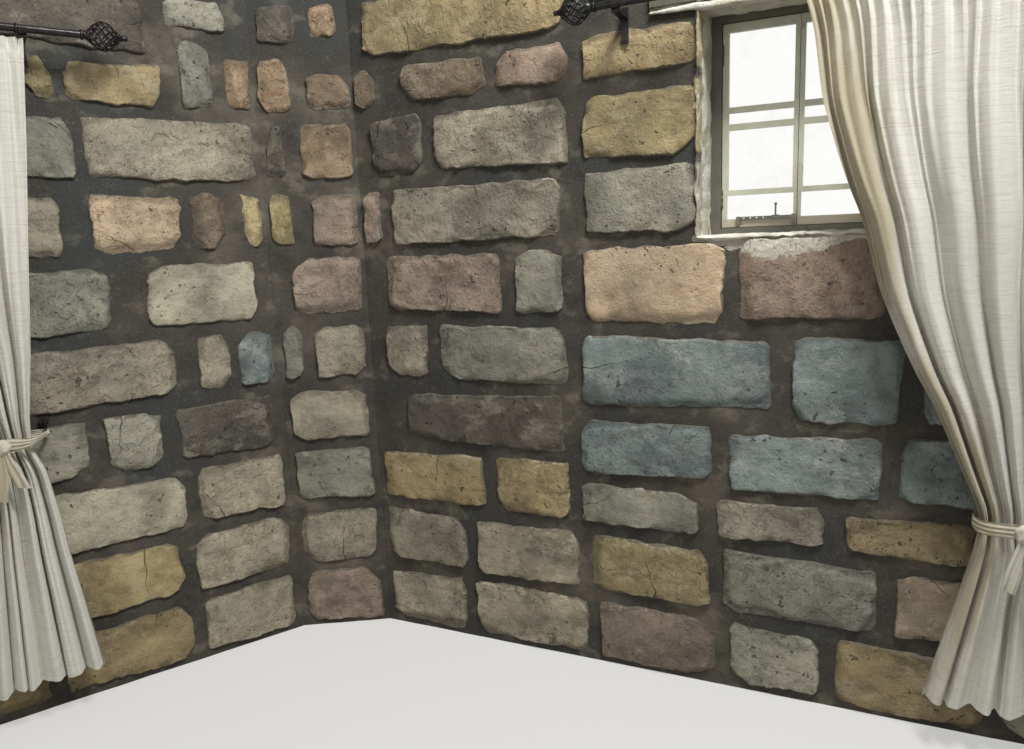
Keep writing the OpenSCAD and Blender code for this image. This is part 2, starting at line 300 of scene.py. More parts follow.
@dataclass(frozen=True)
class ShaderBench:
    """A material with its main shader, and short ways to add and join nodes.

    Attributes:
        material: the material that is being made.
    """

    material: Material

    @classmethod
    def start(cls, name: str, roughness: float, metallic: float = 0.0) -> "ShaderBench":
        """Makes a new node material.

        Args:
            name: name of the material.
            roughness: roughness on the main shader's own socket.
            metallic: metallic on the main shader's own socket.

        Returns:
            The bench that holds it.
        """
        material = bpy.data.materials.new(name)
        material.use_nodes = True
        bench = cls(material)
        bench.shader.inputs["Roughness"].default_value = roughness
        bench.shader.inputs["Metallic"].default_value = metallic
        return bench

    @property
    def shader(self) -> bpy.types.Node:
        """The main shader node."""
        return self.material.node_tree.nodes["Principled BSDF"]

    def node(self, kind: str, **values: object) -> bpy.types.Node:
        """Adds a node and sets its properties or the sockets of those names.

        Args:
            kind: Blender's name of the node's type.
            values: property or socket names, with underscores for spaces, and their values.

        Returns:
            The new node.
        """
        made = self.material.node_tree.nodes.new(kind)
        for name, value in values.items():
            label = name.replace("_", " ")
            if hasattr(made, name):
                setattr(made, name, value)
            else:
                made.inputs[label].default_value = value
        return made

    def join(self, source: Socket, target: Socket) -> None:
        """Links one socket to another."""
        self.material.node_tree.links.new(source, target)

    def places(self, stretch: Sequence[float] = (1, 1, 1), lean: float = 0.0) -> Socket:
        """Positions in the row frame, turned about y and then stretched.

        Args:
            stretch: how much each axis is scaled.
            lean: angle about y in radians.

        Returns:
            The vector socket.
        """
        where = self.node("ShaderNodeTexCoord")
        scale = tuple(1 / share for share in stretch)
        mapping = self.node("ShaderNodeMapping", vector_type="TEXTURE", Rotation=(0, lean, 0), Scale=scale)
        self.join(where.outputs["Object"], mapping.inputs["Vector"])
        return mapping.outputs["Vector"]

    def noise(self, where: Socket, scale: float, detail: float = 4, rough: float = 0.55) -> Socket:
        """Noise at the given places.

        Args:
            where: vector socket.
            scale: number of cells per metre.
            detail: number of finer layers.
            rough: strength of the finer layers.

        Returns:
            The value socket.
        """
        made = self.node("ShaderNodeTexNoise", Scale=scale, Detail=detail, Roughness=rough)
        self.join(where, made.inputs["Vector"])
        return made.outputs["Fac"]

    def ramp(self, value: Socket, *stops: tuple[float, Sequence[float]]) -> Socket:
        """Turns a value into a colour by a few stops.

        Args:
            value: value socket.
            stops: places from 0 to 1 and their colours.

        Returns:
            The colour socket.
        """
        made = self.node("ShaderNodeValToRGB")
        band = made.color_ramp
        while len(band.elements) < len(stops):
            band.elements.new(0.5)
        for element, (place, colour) in zip(band.elements, stops):
            element.position = place
            element.color = colour
        self.join(value, made.inputs["Fac"])
        return made.outputs["Color"]

    def _range(self, value: Socket, low: float, high: float, **values: object) -> Socket:
        """Maps a value from one range to another.

        Args:
            value: value socket.
            low: start of the range that it comes from.
            high: end of that range.
            values: other properties and sockets of the node.

        Returns:
            The value socket.
        """
        made = self.node("ShaderNodeMapRange", From_Min=low, From_Max=high, **values)
        self.join(value, made.inputs["Value"])
        return made.outputs["Result"]

    def limits(self, value: Socket, low: float, high: float) -> Socket:
        """Stretches a value so that low gives 0 and high gives 1."""
        return self._range(value, low, high)

    def share(self, value: Socket, low: float, high: float, most: float = 1.0) -> Socket:
        """Rises smoothly from 0 at the low value to the given most at the high one."""
        return self._range(value, low, high, interpolation_type="SMOOTHSTEP", To_Max=most)

    def work(self, way: str, first: Socket, second: Socket | float = 0.0) -> Socket:
        """Works two values together.

        Args:
            way: name of the operation.
            first: value socket.
            second: value socket or number.

        Returns:
            The value socket.
        """
        made = self.node("ShaderNodeMath", operation=way)
        self.join(first, made.inputs[0])
        if isinstance(second, (int, float)):
            made.inputs[1].default_value = second
        else:
            self.join(second, made.inputs[1])
        return made.outputs[0]

    def sum(self, first: Socket, second: Socket | float) -> Socket:
        """Adds two values."""
        return self.work("ADD", first, second)

    def less(self, first: Socket, second: Socket | float) -> Socket:
        """Takes the second value from the first."""
        return self.work("SUBTRACT", first, second)

    def times(self, first: Socket, second: Socket | float) -> Socket:
        """Multiplies two values."""
        return self.work("MULTIPLY", first, second)

    def greater(self, first: Socket, second: Socket | float) -> Socket:
        """The greater of two values."""
        return self.work("MAXIMUM", first, second)

    def mix(
        self,
        share: Socket | float,
        first: Socket | Sequence[float],
        second: Socket | Sequence[float],
        way: str = "MIX",
    ) -> Socket:
        """Mixes two colours.

        Args:
            share: how much of the second.
            first: colour or its socket.
            second: colour or its socket.
            way: name of the blend.

        Returns:
            The colour socket.
        """
        made = self.node("ShaderNodeMix", data_type="RGBA", blend_type=way)
        for value, target in ((share, made.inputs[0]), (first, made.inputs[6]), (second, made.inputs[7])):
            if isinstance(value, Socket):
                self.join(value, target)
            else:
                target.default_value = value
        return made.outputs[2]

    def attribute(self, name: str) -> Socket:
        """Value of a mesh attribute."""
        return self.node("ShaderNodeAttribute", attribute_name=name).outputs["Fac"]

    def colour(self, source: Socket) -> None:
        """Links the base colour."""
        self.join(source, self.shader.inputs["Base Color"])

    def bump(self, height: Socket, depth: float, strength: float = 1.0) -> None:
        """Links a height as bump.

        Args:
            height: value socket from 0 to 1.
            depth: height of 1 in metres.
            strength: how strongly it shows.
        """
        made = self.node("ShaderNodeBump", Strength=strength, Distance=depth)
        self.join(height, made.inputs["Height"])
        self.join(made.outputs["Normal"], self.shader.inputs["Normal"])


@dataclass(frozen=True)
class StoneFinish:
    """Rock-faced sandstone in one tone, chipped and pitted, with cement and lime smeared on its rim, and
    painted highlights and painted shade that follow its relief.

    Attributes:
        tone: the tone of the stone.
        smear: colour of the cement on the rim.
        lime: colour of the lime beside the window.
        chalk_and_highlight: colour of the pale bloom in patches, which is also laid on the high parts and on
            the rim as a painted highlight.
    """

    tone: Tone
    smear: Colour = srgb(92, 86, 75)
    lime: Colour = srgb(192, 187, 170)
    chalk_and_highlight: Colour = srgb(176, 171, 155)

    def material(self) -> Material:
        """Makes the material.

        Returns:
            The material.
        """
        bench = ShaderBench.start("stone_" + self.tone.name.lower(), 0.92)
        where = bench.places()
        base = srgb(*self.tone.value)
        light = tinted(base, 1.36, 0.02)
        dark = tinted(base, 0.56)
        # Colour of the painted shade in cracks and pits.
        deep = tinted(base, (0.26, 0.24, 0.22, 1))
        chips, ledges = self._chips(bench, where)
        # Painted highlight on raised scales and tool marks, and painted shade in sunk ledges.
        body = bench.mix(bench.times(chips, 0.45), self._strata(bench, where, base), light)
        body = bench.mix(bench.times(ledges, 0.5), body, dark)
        # Painted highlight where flakes are struck out and on the high parts of the face; painted shade on
        # its low parts.
        body = bench.mix(bench.share(bench.attribute("flake"), 0.06, 0.6, 0.6), body, light)
        height = bench.attribute("height")
        body = bench.mix(bench.share(height, 0.6, 1.0, 0.4), body, light)
        body = bench.mix(bench.share(height, 0.5, 0.05, 0.8), body, dark)
        grit = bench.noise(where, 260, 2, 0.7)
        body = bench.mix(bench.share(grit, 0.55, 0.66, 0.35), body, dark)
        body = bench.mix(bench.share(grit, 0.45, 0.34, 0.3), body, light)
        ragged = bench.noise(where, 24, 4, 0.76)
        body = bench.mix(bench.share(ragged, 0.42, 0.28, 0.5), body, dark)
        # Pale bloom in patches, raised on the high parts and on the rim as a painted highlight.
        chalk_and_highlight = bench.noise(bench.places((1, 1, 1.4)), 8.5, 6, 0.74)
        chalk_and_highlight = bench.sum(chalk_and_highlight, bench.times(height, 0.12))
        chalk_and_highlight = bench.sum(chalk_and_highlight, bench.times(bench.attribute("rim"), 0.07))
        bloom = tinted(base, 0.9, 0.35 * np.array(self.chalk_and_highlight))
        body = bench.mix(bench.share(chalk_and_highlight, 0.6, 0.71, 0.6), body, bloom)
        # Painted shade: cracks and pits are darkened almost to black.
        hollows = self._hollows(bench, where, ragged)
        body = bench.mix(bench.times(hollows, 0.8), body, deep)
        drift = bench.times(bench.less(bench.noise(where, 4.4, 2), 0.5), 2.0)
        shade = bench.sum(bench.attribute("shade"), drift)
        shade = bench.ramp(shade, (0, (0.72, 0.72, 0.73, 1)), (1, (1.18, 1.15, 1.1, 1)))
        body = bench.mix(1.0, body, shade, "MULTIPLY")
        edge = bench.sum(bench.attribute("rim"), bench.limits(ragged, 0.3, 0.75))
        body = bench.mix(bench.share(edge, 1.12, 1.36, 0.9), body, self.smear)
        thin = bench.times(bench.noise(where, 11, 6, 0.78), 0.6)
        lime = bench.sum(bench.attribute("lime"), bench.sum(bench.times(ragged, 0.4), thin))
        bench.colour(bench.mix(bench.share(lime, 0.87, 1.01, 0.92), body, self.lime))
        relief = bench.sum(bench.noise(where, 64, 4, 0.74), bench.times(grit, 0.35))
        relief = bench.sum(relief, bench.times(chips, 0.6))
        relief = bench.less(relief, bench.times(ledges, 0.45))
        bench.bump(bench.less(relief, bench.times(hollows, 0.8)), 0.0048, 1.0)
        return bench.material

    def _strata(self, bench: ShaderBench, where: Socket, base: Colour) -> Socket:
        """Colour of the stone's own clouds and strata.

        Args:
            bench: the material's bench.
            where: positions.
            base: colour of the tone.

        Returns:
            The colour socket.
        """
        warm = tinted(base, (1.04, 0.88, 0.7, 1))
        rusty = tinted(base, (0.8, 0.6, 0.43, 1))
        cool = tinted(base, (0.84, 0.92, 0.94, 1))
        clouds = bench.noise(where, 6, 6, 0.66)
        body = bench.ramp(clouds, (0.37, tinted(base, 0.5)), (0.5, base), (0.64, tinted(base, 1.42)))
        strata = bench.noise(bench.places((2, 2, 22)), 2.4, 4, 0.62)
        body = bench.mix(bench.share(strata, 0.52, 0.72, 0.45), body, warm)
        body = bench.mix(bench.share(strata, 0.42, 0.33, 0.5), body, rusty)
        return bench.mix(bench.share(bench.noise(where, 3.3, 3, 0.6), 0.5, 0.68, 0.5), body, cool)

    def _chips(self, bench: ShaderBench, where: Socket) -> tuple[Socket, Socket]:
        """Raised scales, slanting tool marks and sunk ledges, all with crisp broken edges.

        Args:
            bench: the material's bench.
            where: positions.

        Returns:
            The scales with the marks, and the ledges, each from 0 to 1.
        """
        faces = bench.noise(where, 13, 6, 0.66)
        rough = bench.limits(bench.attribute("rough"), 0.15, 0.9)
        marks = bench.noise(bench.places((2.1, 2.1, 0.8), 0.3), 34, 3, 0.62)
        marks = bench.share(marks, 0.57, 0.63, 0.9)
        scales = bench.greater(bench.share(faces, 0.53, 0.6), marks)
        ledges = bench.share(faces, 0.45, 0.39)
        return bench.times(scales, rough), bench.times(ledges, rough)

    def _hollows(self, bench: ShaderBench, where: Socket, ragged: Socket) -> Socket:
        """The crack that closes on its way in from the rim, and groups of small pits.

        Args:
            bench: the material's bench.
            where: positions.
            ragged: noise that makes the crack wander.

        Returns:
            The value socket, 1 in a crack or a pit.
        """
        zones = bench.noise(where, 3.1, 1)
        wander = bench.times(bench.less(ragged, 0.5), 0.014)
        line = bench.work("ABSOLUTE", bench.sum(bench.attribute("crack"), wander))
        line = bench.sum(line, bench.times(bench.attribute("reach"), 0.0028))
        cracks = bench.share(line, 0.003, 0.0016)
        pits = bench.share(bench.noise(where, 46, 2), 0.65, 0.7)
        pits = bench.times(pits, bench.share(zones, 0.55, 0.45))
        return bench.greater(pits, cracks)


@dataclass(frozen=True)
class MortarFinish:
    """Smoothed cement between the stones, mottled and marked by the float, limy beside the window."""

    def material(self) -> Material:
        """Makes the material.

        Returns:
            The material.
        """
        bench = ShaderBench.start("mortar", 0.88)
        where = bench.places()
        clouds = bench.noise(where, 2.6, 7, 0.62)
        stops = ((0.34, (35, 34, 31)), (0.46, (52, 49, 43)), (0.57, (65, 61, 53)), (0.7, (95, 89, 77)))
        body = bench.ramp(clouds, *((place, srgb(*colour)) for place, colour in stops))
        swipes = bench.noise(bench.places((1, 1, 1.3)), 10, 5, 0.58)
        body = bench.mix(bench.share(swipes, 0.54, 0.68, 0.5), body, srgb(112, 106, 92))
        body = bench.mix(bench.share(swipes, 0.46, 0.32, 0.6), body, srgb(36, 34, 31))
        body = bench.mix(bench.share(clouds, 0.46, 0.36, 0.5), body, srgb(56, 60, 58))
        grit = bench.noise(where, 190, 2, 0.7)
        body = bench.mix(bench.share(grit, 0.6, 0.68, 0.35), body, srgb(124, 117, 102))
        ragged = bench.noise(where, 24, 4, 0.76)
        lime = bench.share(bench.sum(bench.attribute("lime"), ragged), 0.92, 1.08, 0.85)
        bench.colour(bench.mix(lime, body, srgb(180, 175, 160)))
        relief = bench.sum(bench.times(swipes, 1.5), bench.times(grit, 0.3))
        bench.bump(bench.sum(relief, lime), 0.006, 0.75)
        return bench.material


@dataclass(frozen=True)
class LimeFinish:
    """Rough limewashed plaster, dirty and worn back, which thins out over the stone ends beside the window.

    Attributes:
        joint: colour of the mortar between the stone ends.
        low_stone: colour of the stone end at the sill.
        high_stone: colour of the stone ends above it.
    """

    joint: Colour = srgb(78, 74, 64)
    low_stone: Colour = srgb(158, 154, 137)
    high_stone: Colour = srgb(159, 146, 112)

    def material(self) -> Material:
        """Makes the material.

        Returns:
            The material.
        """
        bench = ShaderBench.start("lime_plaster", 0.92)
        where = bench.places()
        clouds = bench.noise(where, 13, 8, 0.7)
        stops = (
            (0.3, (150, 145, 128)), (0.42, (184, 180, 163)), (0.54, (205, 202, 188)), (0.7, (215, 213, 203)),
        )
        body = bench.ramp(clouds, *((place, srgb(*colour)) for place, colour in stops))
        bare = bench.share(bench.noise(where, 9, 6, 0.7), 0.57, 0.63, 0.6)
        body = bench.mix(bare, body, srgb(140, 132, 110))
        stone = bench.mix(bench.attribute("shade"), self.low_stone, self.high_stone)
        under = bench.mix(bench.attribute("height"), self.joint, stone)
        under = bench.mix(bench.share(clouds, 0.5, 0.3, 0.3), under, srgb(100, 92, 72))
        laid = bench.times(bench.noise(where, 24, 4, 0.76), 2.0)
        laid = bench.sum(bench.attribute("lime"), laid)
        bench.colour(bench.mix(bench.share(laid, 1.3, 1.5), under, body))
        lumps = bench.less(bench.noise(where, 40, 8, 0.74), bare)
        bench.bump(bench.sum(lumps, bench.times(clouds, 2.0)), 0.005)
        return bench.material


@dataclass(frozen=True)
class CementFinish:
    """Cast cement with float marks and a few pin holes.

    Attributes:
        name: name of the material.
        body: main colour.
    """

    name: str
    body: Colour

    def material(self) -> Material:
        """Makes the material.

        Returns:
            The material.
        """
        bench = ShaderBench.start(self.name, 0.88)
        where = bench.places()
        clouds = bench.noise(where, 6, 6, 0.6)
        dark = tinted(self.body, 0.72)
        bench.colour(bench.ramp(clouds, (0.3, dark), (0.52, self.body), (0.75, tinted(self.body, 1.25))))
        holes = bench.noise(where, 120, 3, 0.6)
        height = bench.sum(bench.noise(where, 24, 7, 0.65), bench.limits(holes, 0.32, 0.4))
        bench.bump(height, 0.003, 0.6)
        return bench.material


@dataclass(frozen=True)
class PaintFinish:
    """Old brushed gloss paint on a wooden light, worn through in flakes here and there.

    Attributes:
        name: name of the material.
        body: colour of the paint.
        worn: colour where it has worn through.
        rail: colour of the bottom rail, a warmer tan than the rest of the paint.
    """

    name: str
    body: Colour
    worn: Colour
    rail: Colour | None = None

    def material(self) -> Material:
        """Makes the material.

        Returns:
            The material.
        """
        bench = ShaderBench.start(self.name, 0.42)
        where = bench.places()
        clouds = bench.noise(where, 9, 5, 0.6)
        body = bench.ramp(clouds, (0.3, tinted(self.body, 0.8)), (0.7, tinted(self.body, 1.12)))
        if self.rail:
            # The bottom rail is tinted tan up to a little above the sill.
            high = bench.node("ShaderNodeSeparateXYZ")
            bench.join(where, high.inputs[0])
            tan_rail_share = bench.share(high.outputs["Z"], SILL_Z + 0.062, SILL_Z + 0.052, 0.8)
            body = bench.mix(tan_rail_share, body, self.rail)
        flakes = bench.limits(bench.noise(where, 46, 6, 0.75), 0.62, 0.66)
        bench.colour(bench.mix(bench.times(flakes, 0.8), body, self.worn))
        brush = bench.noise(bench.places((1, 1, 0.12)), 420, 3, 0.6)
        bench.bump(bench.less(bench.times(brush, 0.5), flakes), 0.0006, 0.8)
        return bench.material


@dataclass(frozen=True)
class IronFinish:
    """Forged iron under satin black, with hammer marks and a trace of rust.

    Attributes:
        name: name of the material.
        body: colour of the coat.
        roughness: roughness of the coat.
        worn: colour where the coat is thin.
        rust: colour of the rust.
    """

    name: str
    body: Colour
    roughness: float = 0.36
    worn: Colour = srgb(46, 43, 42)
    rust: Colour = srgb(72, 54, 42)

    def material(self) -> Material:
        """Makes the material.

        Returns:
            The material.
        """
        bench = ShaderBench.start(self.name, self.roughness, 0.55)
        where = bench.places()
        clouds = bench.noise(where, 40, 5, 0.65)
        bench.colour(bench.ramp(clouds, (0.35, self.body), (0.62, self.worn), (0.8, self.rust)))
        marks = bench.node("ShaderNodeTexVoronoi", feature="SMOOTH_F1", Scale=85)
        bench.join(where, marks.inputs["Vector"])
        bench.bump(bench.sum(marks.outputs["Distance"], bench.times(clouds, 0.5)), 0.0012, 0.5)
        return bench.material


@dataclass(frozen=True)
class GlassFinish:
    """Thin drawn glass with a little dust."""

    def material(self) -> Material:
        """Makes the material.

        Returns:
            The material.
        """
        bench = ShaderBench.start("pane_glass", 0.03)
        where = bench.places()
        bench.shader.inputs["Transmission Weight"].default_value = 1.0
        bench.shader.inputs["IOR"].default_value = 1.02
        dust = bench.noise(where, 12, 6, 0.7)
        bench.colour(bench.ramp(dust, (0.5, srgb(253, 254, 254)), (0.85, srgb(240, 243, 241))))
        bench.bump(bench.noise(where, 9, 2, 0.5), 0.0004, 0.3)
        return bench.material


@dataclass(frozen=True)
class CottonFinish:
    """Loose off-white cotton with thick weft threads that run across it.

    Attributes:
        name: name of the material.
        body: colour of the cloth.
        stain_and_shade: colour of faint stains in patches, and of the warm shade painted on the cloth beside
            the window.
    """

    name: str
    body: Colour = srgb(199, 197, 186)
    stain_and_shade: Colour = srgb(156, 143, 109)

    def material(self) -> Material:
        """Makes the material.

        Returns:
            The material.
        """
        bench = ShaderBench.start(self.name, 0.95)
        bench.shader.inputs["Sheen Weight"].default_value = 0.25
        bench.shader.inputs["Sheen Roughness"].default_value = 0.6
        slubs = bench.noise(bench.places((11, 11, 330)), 1.0, 3, 0.62)
        low = tinted(self.body, (0.84, 0.81, 0.74, 1))
        body = bench.ramp(slubs, (0.3, low), (0.46, self.body), (0.74, tinted(self.body, 1.1)))
        # Faint stains in patches, with a painted warm shade added where the shade mark is high, beside the
        # window.
        clouds = bench.noise(bench.places((1, 1, 0.3)), 6, 4, 0.6)
        clouds = bench.sum(clouds, bench.times(bench.attribute("shade"), 0.3))
        bench.colour(bench.mix(bench.share(clouds, 0.56, 0.82, 0.8), body, self.stain_and_shade))
        weft = bench.noise(bench.places((30, 30, 1500)), 1.0, 2, 0.5)
        warp = bench.noise(bench.places((1400, 1400, 25)), 1.0, 2, 0.5)
        height = bench.sum(bench.times(slubs, 1.5), bench.sum(weft, warp))
        bench.bump(height, 0.0011, 0.7)
        return bench.material


@dataclass(frozen=True)
class Finishes:
    """All the materials, made once."""

    stones: dict[Tone, Material]
    mortar: Material
    lime: Material
    lintel: Material
    sill: Material
    frame_paint: Material
    sash_paint: Material
    glass: Material
    iron: Material
    stay: Material
    cotton: Material
    tie: Material

    @classmethod
    def make(cls) -> "Finishes":
        """Makes every material.

        Returns:
            The materials.
        """
        return cls(
            stones={tone: StoneFinish(tone).material() for tone in Tone},
            mortar=MortarFinish().material(),
            lime=LimeFinish().material(),
            # Painted shade: the lintel's cement is made darker than the sill's, for the shade that falls on
            # it under the curtain pole.
            lintel=CementFinish("lintel_cement", srgb(91, 87, 73)).material(),
            sill=CementFinish("sill_cement", srgb(150, 145, 132)).material(),
            frame_paint=PaintFinish("frame_paint", srgb(98, 97, 84), srgb(70, 58, 46)).material(),
            sash_paint=PaintFinish(
                "sash_paint", srgb(203, 203, 182), srgb(126, 112, 92), srgb(178, 163, 142)
            ).material(),
            glass=GlassFinish().material(),
            iron=IronFinish("black_iron", srgb(24, 24, 25)).material(),
            stay=IronFinish(
                "stay_iron", srgb(128, 128, 120), 0.5, srgb(104, 102, 94), srgb(112, 92, 74)
            ).material(),
            cotton=CottonFinish("curtain_cotton").material(),
            tie=CottonFinish("tie_cotton", srgb(190, 187, 173)).material(),
        )


@dataclass(frozen=True)
class Place:
    """Where a local frame stands in the row frame.

    Attributes:
        origin: row place of the local origin.
        angle: turn of the local x axis about z.
        start: local x at that origin.
    """

    origin: tuple[float, float]
    angle: float
    start: float = 0.0

    def to_row(self, points: Array) -> Array:
        """Local points in the row frame.

        Args:
            points: array whose last axis is x, y, z.

        Returns:
            The same points in the row frame.
        """
        along = points[..., 0] - self.start
        out = points[..., 1]
        cos = math.cos(self.angle)
        sin = math.sin(self.angle)
        across = self.origin[0] + along * cos - out * sin
        deep = self.origin[1] + along * sin + out * cos
        return np.stack([across, deep, points[..., 2]], axis=-1)

    def to_local(self, points: Array) -> Array:
        """Row points in the local frame.

        Args:
            points: array whose last axis is x, y, z.

        Returns:
            The same points in the local frame.
        """
        dx = points[..., 0] - self.origin[0]
        dy = points[..., 1] - self.origin[1]
        cos = math.cos(self.angle)
        sin = math.sin(self.angle)
        return np.stack([dx * cos + dy * sin + self.start, -dx * sin + dy * cos, points[..., 2]], axis=-1)


BAY_PLACES = {
    Side.RIGHT: Place((SHORT_LENGTH / 2, PLAN_DEPTH), -TURN),
    Side.LEFT: Place((-SHORT_LENGTH / 2, PLAN_DEPTH), TURN, BAY_LENGTH),
}
CORNER_PLACE = Place((0.0, PLAN_DEPTH), 0.0)
WAISTS = {Side.RIGHT: 0.7, Side.LEFT: 0.95}
CURTAIN_SEEDS = {Side.RIGHT: 61, Side.LEFT: 62}
BAND_SEEDS = {Side.RIGHT: 71, Side.LEFT: 72}


@dataclass(frozen=True)
class Block:
    """One dressed stone on a wall face.

    Attributes:
        left: left edge in metres.
        right: right edge in metres.
        tone: its tone.
        low: its own lower edge, where it isn't its course's.
        high: its own upper edge, where it isn't its course's.
        rough: how coarsely its face is broken, from 0 to 1.
        shade: how light it is within its tone, from 0 to 1.
        open_left: runs round the left arris.
        open_right: runs round the right arris.
    """

    left: float
    right: float
    tone: Tone
    low: float | None = None
    high: float | None = None
    rough: float | None = None
    shade: float = 0.5
    open_left: bool = False
    open_right: bool = False


@dataclass
class WallFace:
    """One face of the wall with its courses of dressed stones.

    Attributes:
        place: frame of the face's own coordinates.
        left: left end of the face in metres.
        right: right end of the face in metres.
        depth_to_y: turns a depth out of the face into local y.
        seed: picks the stones that aren't given.
        given: stones given by course number.
        holes: parts of the face without stones, each as left, right, low, high.
        fine: width of the cells in the middle of a stone.
        wrap: the left and right arris that its stones run round.
        length: usual length of a stone that isn't given.
    """

    USUAL = {
        Tone.PALE: 0.32, Tone.TAN: 0.12, Tone.GREEN: 0.2, Tone.PEACH: 0.07, Tone.CREAM: 0.16,
        Tone.PINK: 0.09, Tone.OLIVE: 0.04,
    }
    COURSES = (0.0, 0.25, 0.5, 0.745, 0.98, 1.225, 1.48, 1.72, 1.96, 2.13, 2.36, 2.6)
    JOINT = 0.04
    RECESS = 0.014
    WOBBLE = 0.006
    SHORTEST = 0.1
    OVERLAP = 0.03

    place: Place
    left: float
    right: float
    depth_to_y: Callable[[Array], Array]
    seed: int
    given: dict[int, tuple[Block, ...]] = field(default_factory=dict)
    holes: Sequence[Hole] = ()
    fine: float = 0.014
    wrap: tuple[Arris, Arris] = (Arris.NONE, Arris.NONE)
    length: float = 0.42

    def blocks(self) -> list[Block]:
        """All the stones of the face, the given ones and seeded ones between them.

        Returns:
            The stones, with their edges set.
        """
        rng = np.random.default_rng(self.seed)
        found = []
        for course in range(len(self.COURSES) - 1):
            low = self.COURSES[course] + self.JOINT / 2
            high = self.COURSES[course + 1] - self.JOINT / 2
            row = []
            edge = self.left if self._wraps(0) else self.left + self.JOINT / 2
            for start, end in self._free_spans(course, edge):
                count = max(1, round((end - start) / self.length))
                cuts = np.linspace(start, end, count + 1)
                cuts[1:-1] += rng.uniform(-0.09, 0.09, count - 1)
                for one in range(count):
                    left = cuts[one] + (self.JOINT / 2 if one else 0)
                    right = cuts[one + 1] - (self.JOINT / 2 if one < count - 1 else 0)
                    row.append(Block(left, right, self._tone(rng)))
            row.extend(self.given.get(course, ()))
            for block in row:
                low_edge = (block.low or low) + rng.uniform(-self.WOBBLE, self.WOBBLE)
                high_edge = (block.high or high) + rng.uniform(-self.WOBBLE, self.WOBBLE)
                rough = rng.uniform(0.35, 1.0) if block.rough is None else block.rough
                shade = rng.uniform(0.15, 0.85)
                block = replace(block, low=low_edge, high=high_edge, rough=rough, shade=shade)
                found.append(self._quoin(block, course))
        return found

    def _tone(self, pick: Draws) -> Tone:
        """One of the usual tones."""
        return list(self.USUAL)[pick.choice(len(self.USUAL), p=list(self.USUAL.values()))]

    def _wraps(self, end: int) -> bool:
        """Whether stones run round the left end, 0, or the right one, 1."""
        return self.wrap[end] is not Arris.NONE

    def _quoin(self, block: Block, course: int) -> Block:
        """A stone as it is, or matched to its other face where it runs round an arris.

        Args:
            block: the stone.
            course: number of its course from the floor.

        Returns:
            The stone, with its open ends set.
        """
        opens = (
            self._wraps(0) and block.left < self.left + 0.005,
            self._wraps(1) and block.right > self.right - 0.005,
        )
        if not any(opens):
            return block
        pick = np.random.default_rng(100 * self.wrap[0 if opens[0] else 1].value + course)
        low = self.COURSES[course] + self.JOINT / 2 + pick.uniform(-self.WOBBLE, self.WOBBLE)
        high = self.COURSES[course + 1] - self.JOINT / 2 + pick.uniform(-self.WOBBLE, self.WOBBLE)
        tone = self._tone(pick)
        rough = pick.uniform(0.35, 1.0)
        shade = pick.uniform(0.2, 0.8)
        return Block(block.left, block.right, tone, low, high, rough, shade, *opens)

    def _free_spans(self, course: int, edge: float) -> list[tuple[float, float]]:
        """Stretches of a course that no given stone or hole takes.

        Args:
            course: number of the course from the floor.
            edge: where the first stone may start.

        Returns:
            Starts and ends of the stretches.
        """
        low = self.COURSES[course]
        high = self.COURSES[course + 1]
        taken = [(block.left, block.right) for block in self.given.get(course, ())]
        for left, right, bottom, top in self.holes:
            if bottom < high - self.OVERLAP and top > low + self.OVERLAP:
                taken.append((left, right))
        spans = []
        last = self.right if self._wraps(1) else self.right - self.JOINT / 2
        for left, right in sorted(taken):
            if left - self.JOINT - edge > self.SHORTEST:
                spans.append((edge, left - self.JOINT))
            edge = max(edge, right + self.JOINT)
        if last - edge > self.SHORTEST:
            spans.append((edge, last))
        return spans

    def lay(self, sheaf: Sheaf) -> None:
        """Adds every stone of the face to a sheaf.

        Args:
            sheaf: where the stones go; its materials are the tones in their order.
        """
        rng = np.random.default_rng(self.seed + 500)
        for number, block in enumerate(self.blocks()):
            noise = Roughness(self.seed * 1000 + number)
            grid, marks = self._relief(block, noise, rng)
            tone = list(Tone).index(block.tone)
            sheaf.add_grid(self.place.to_row(grid), tone, marks, self.depth_to_y is outside_y)

    def _lines(self, length: float) -> Array:
        """Grid lines across a stone from 0, close at its edges and wide in its middle.

        Args:
            length: width or height of the stone.

        Returns:
            The places of the lines.
        """
        edge = np.array([0.0, 0.0016, 0.004, 0.0075, 0.013, 0.02])
        rim = 0.0285
        inner = max(2, round((length - 2 * rim) / self.fine))
        middle = np.linspace(rim, length - rim, inner + 1)
        return np.concatenate([edge, middle, (length - edge)[::-1]])

    def _border(self, along: Array, length: float, noise: Roughness, row: int, rng: Draws) -> Array:
        """How far one broken edge of a stone lies inside its nominal line.

        Args:
            along: distances along the edge.
            length: its length.
            noise: the stone's roughness.
            row: row of the roughness that this edge takes.
            rng: source of its slant and its corners.

        Returns:
            Offsets in metres.
        """
        knots = np.linspace(0, length, max(3, round(length / 0.05)) + 1)
        knots[1:-1] += rng.uniform(-0.016, 0.016, len(knots) - 2)
        bends = rng.uniform(-0.005, 0.005, len(knots))
        slant = rng.uniform(-1, 1) * (0.006 + 0.026 * min(length, 0.6)) * (along / length - 0.5)
        nicks = 0.0034 * noise.layers(along, np.full_like(along, row * 1.7), 0.026, 2)
        inset = 0.003 + np.interp(along, knots, bends) + slant + nicks
        for distance in (along, length - along):
            corner = min(rng.choice([0.004, 0.012, 0.022, 0.045]) * rng.uniform(0.7, 1.3), length * 0.4)
            inset = inset + 0.5 * corner * np.clip(1 - distance / corner, 0, 1)
        return inset

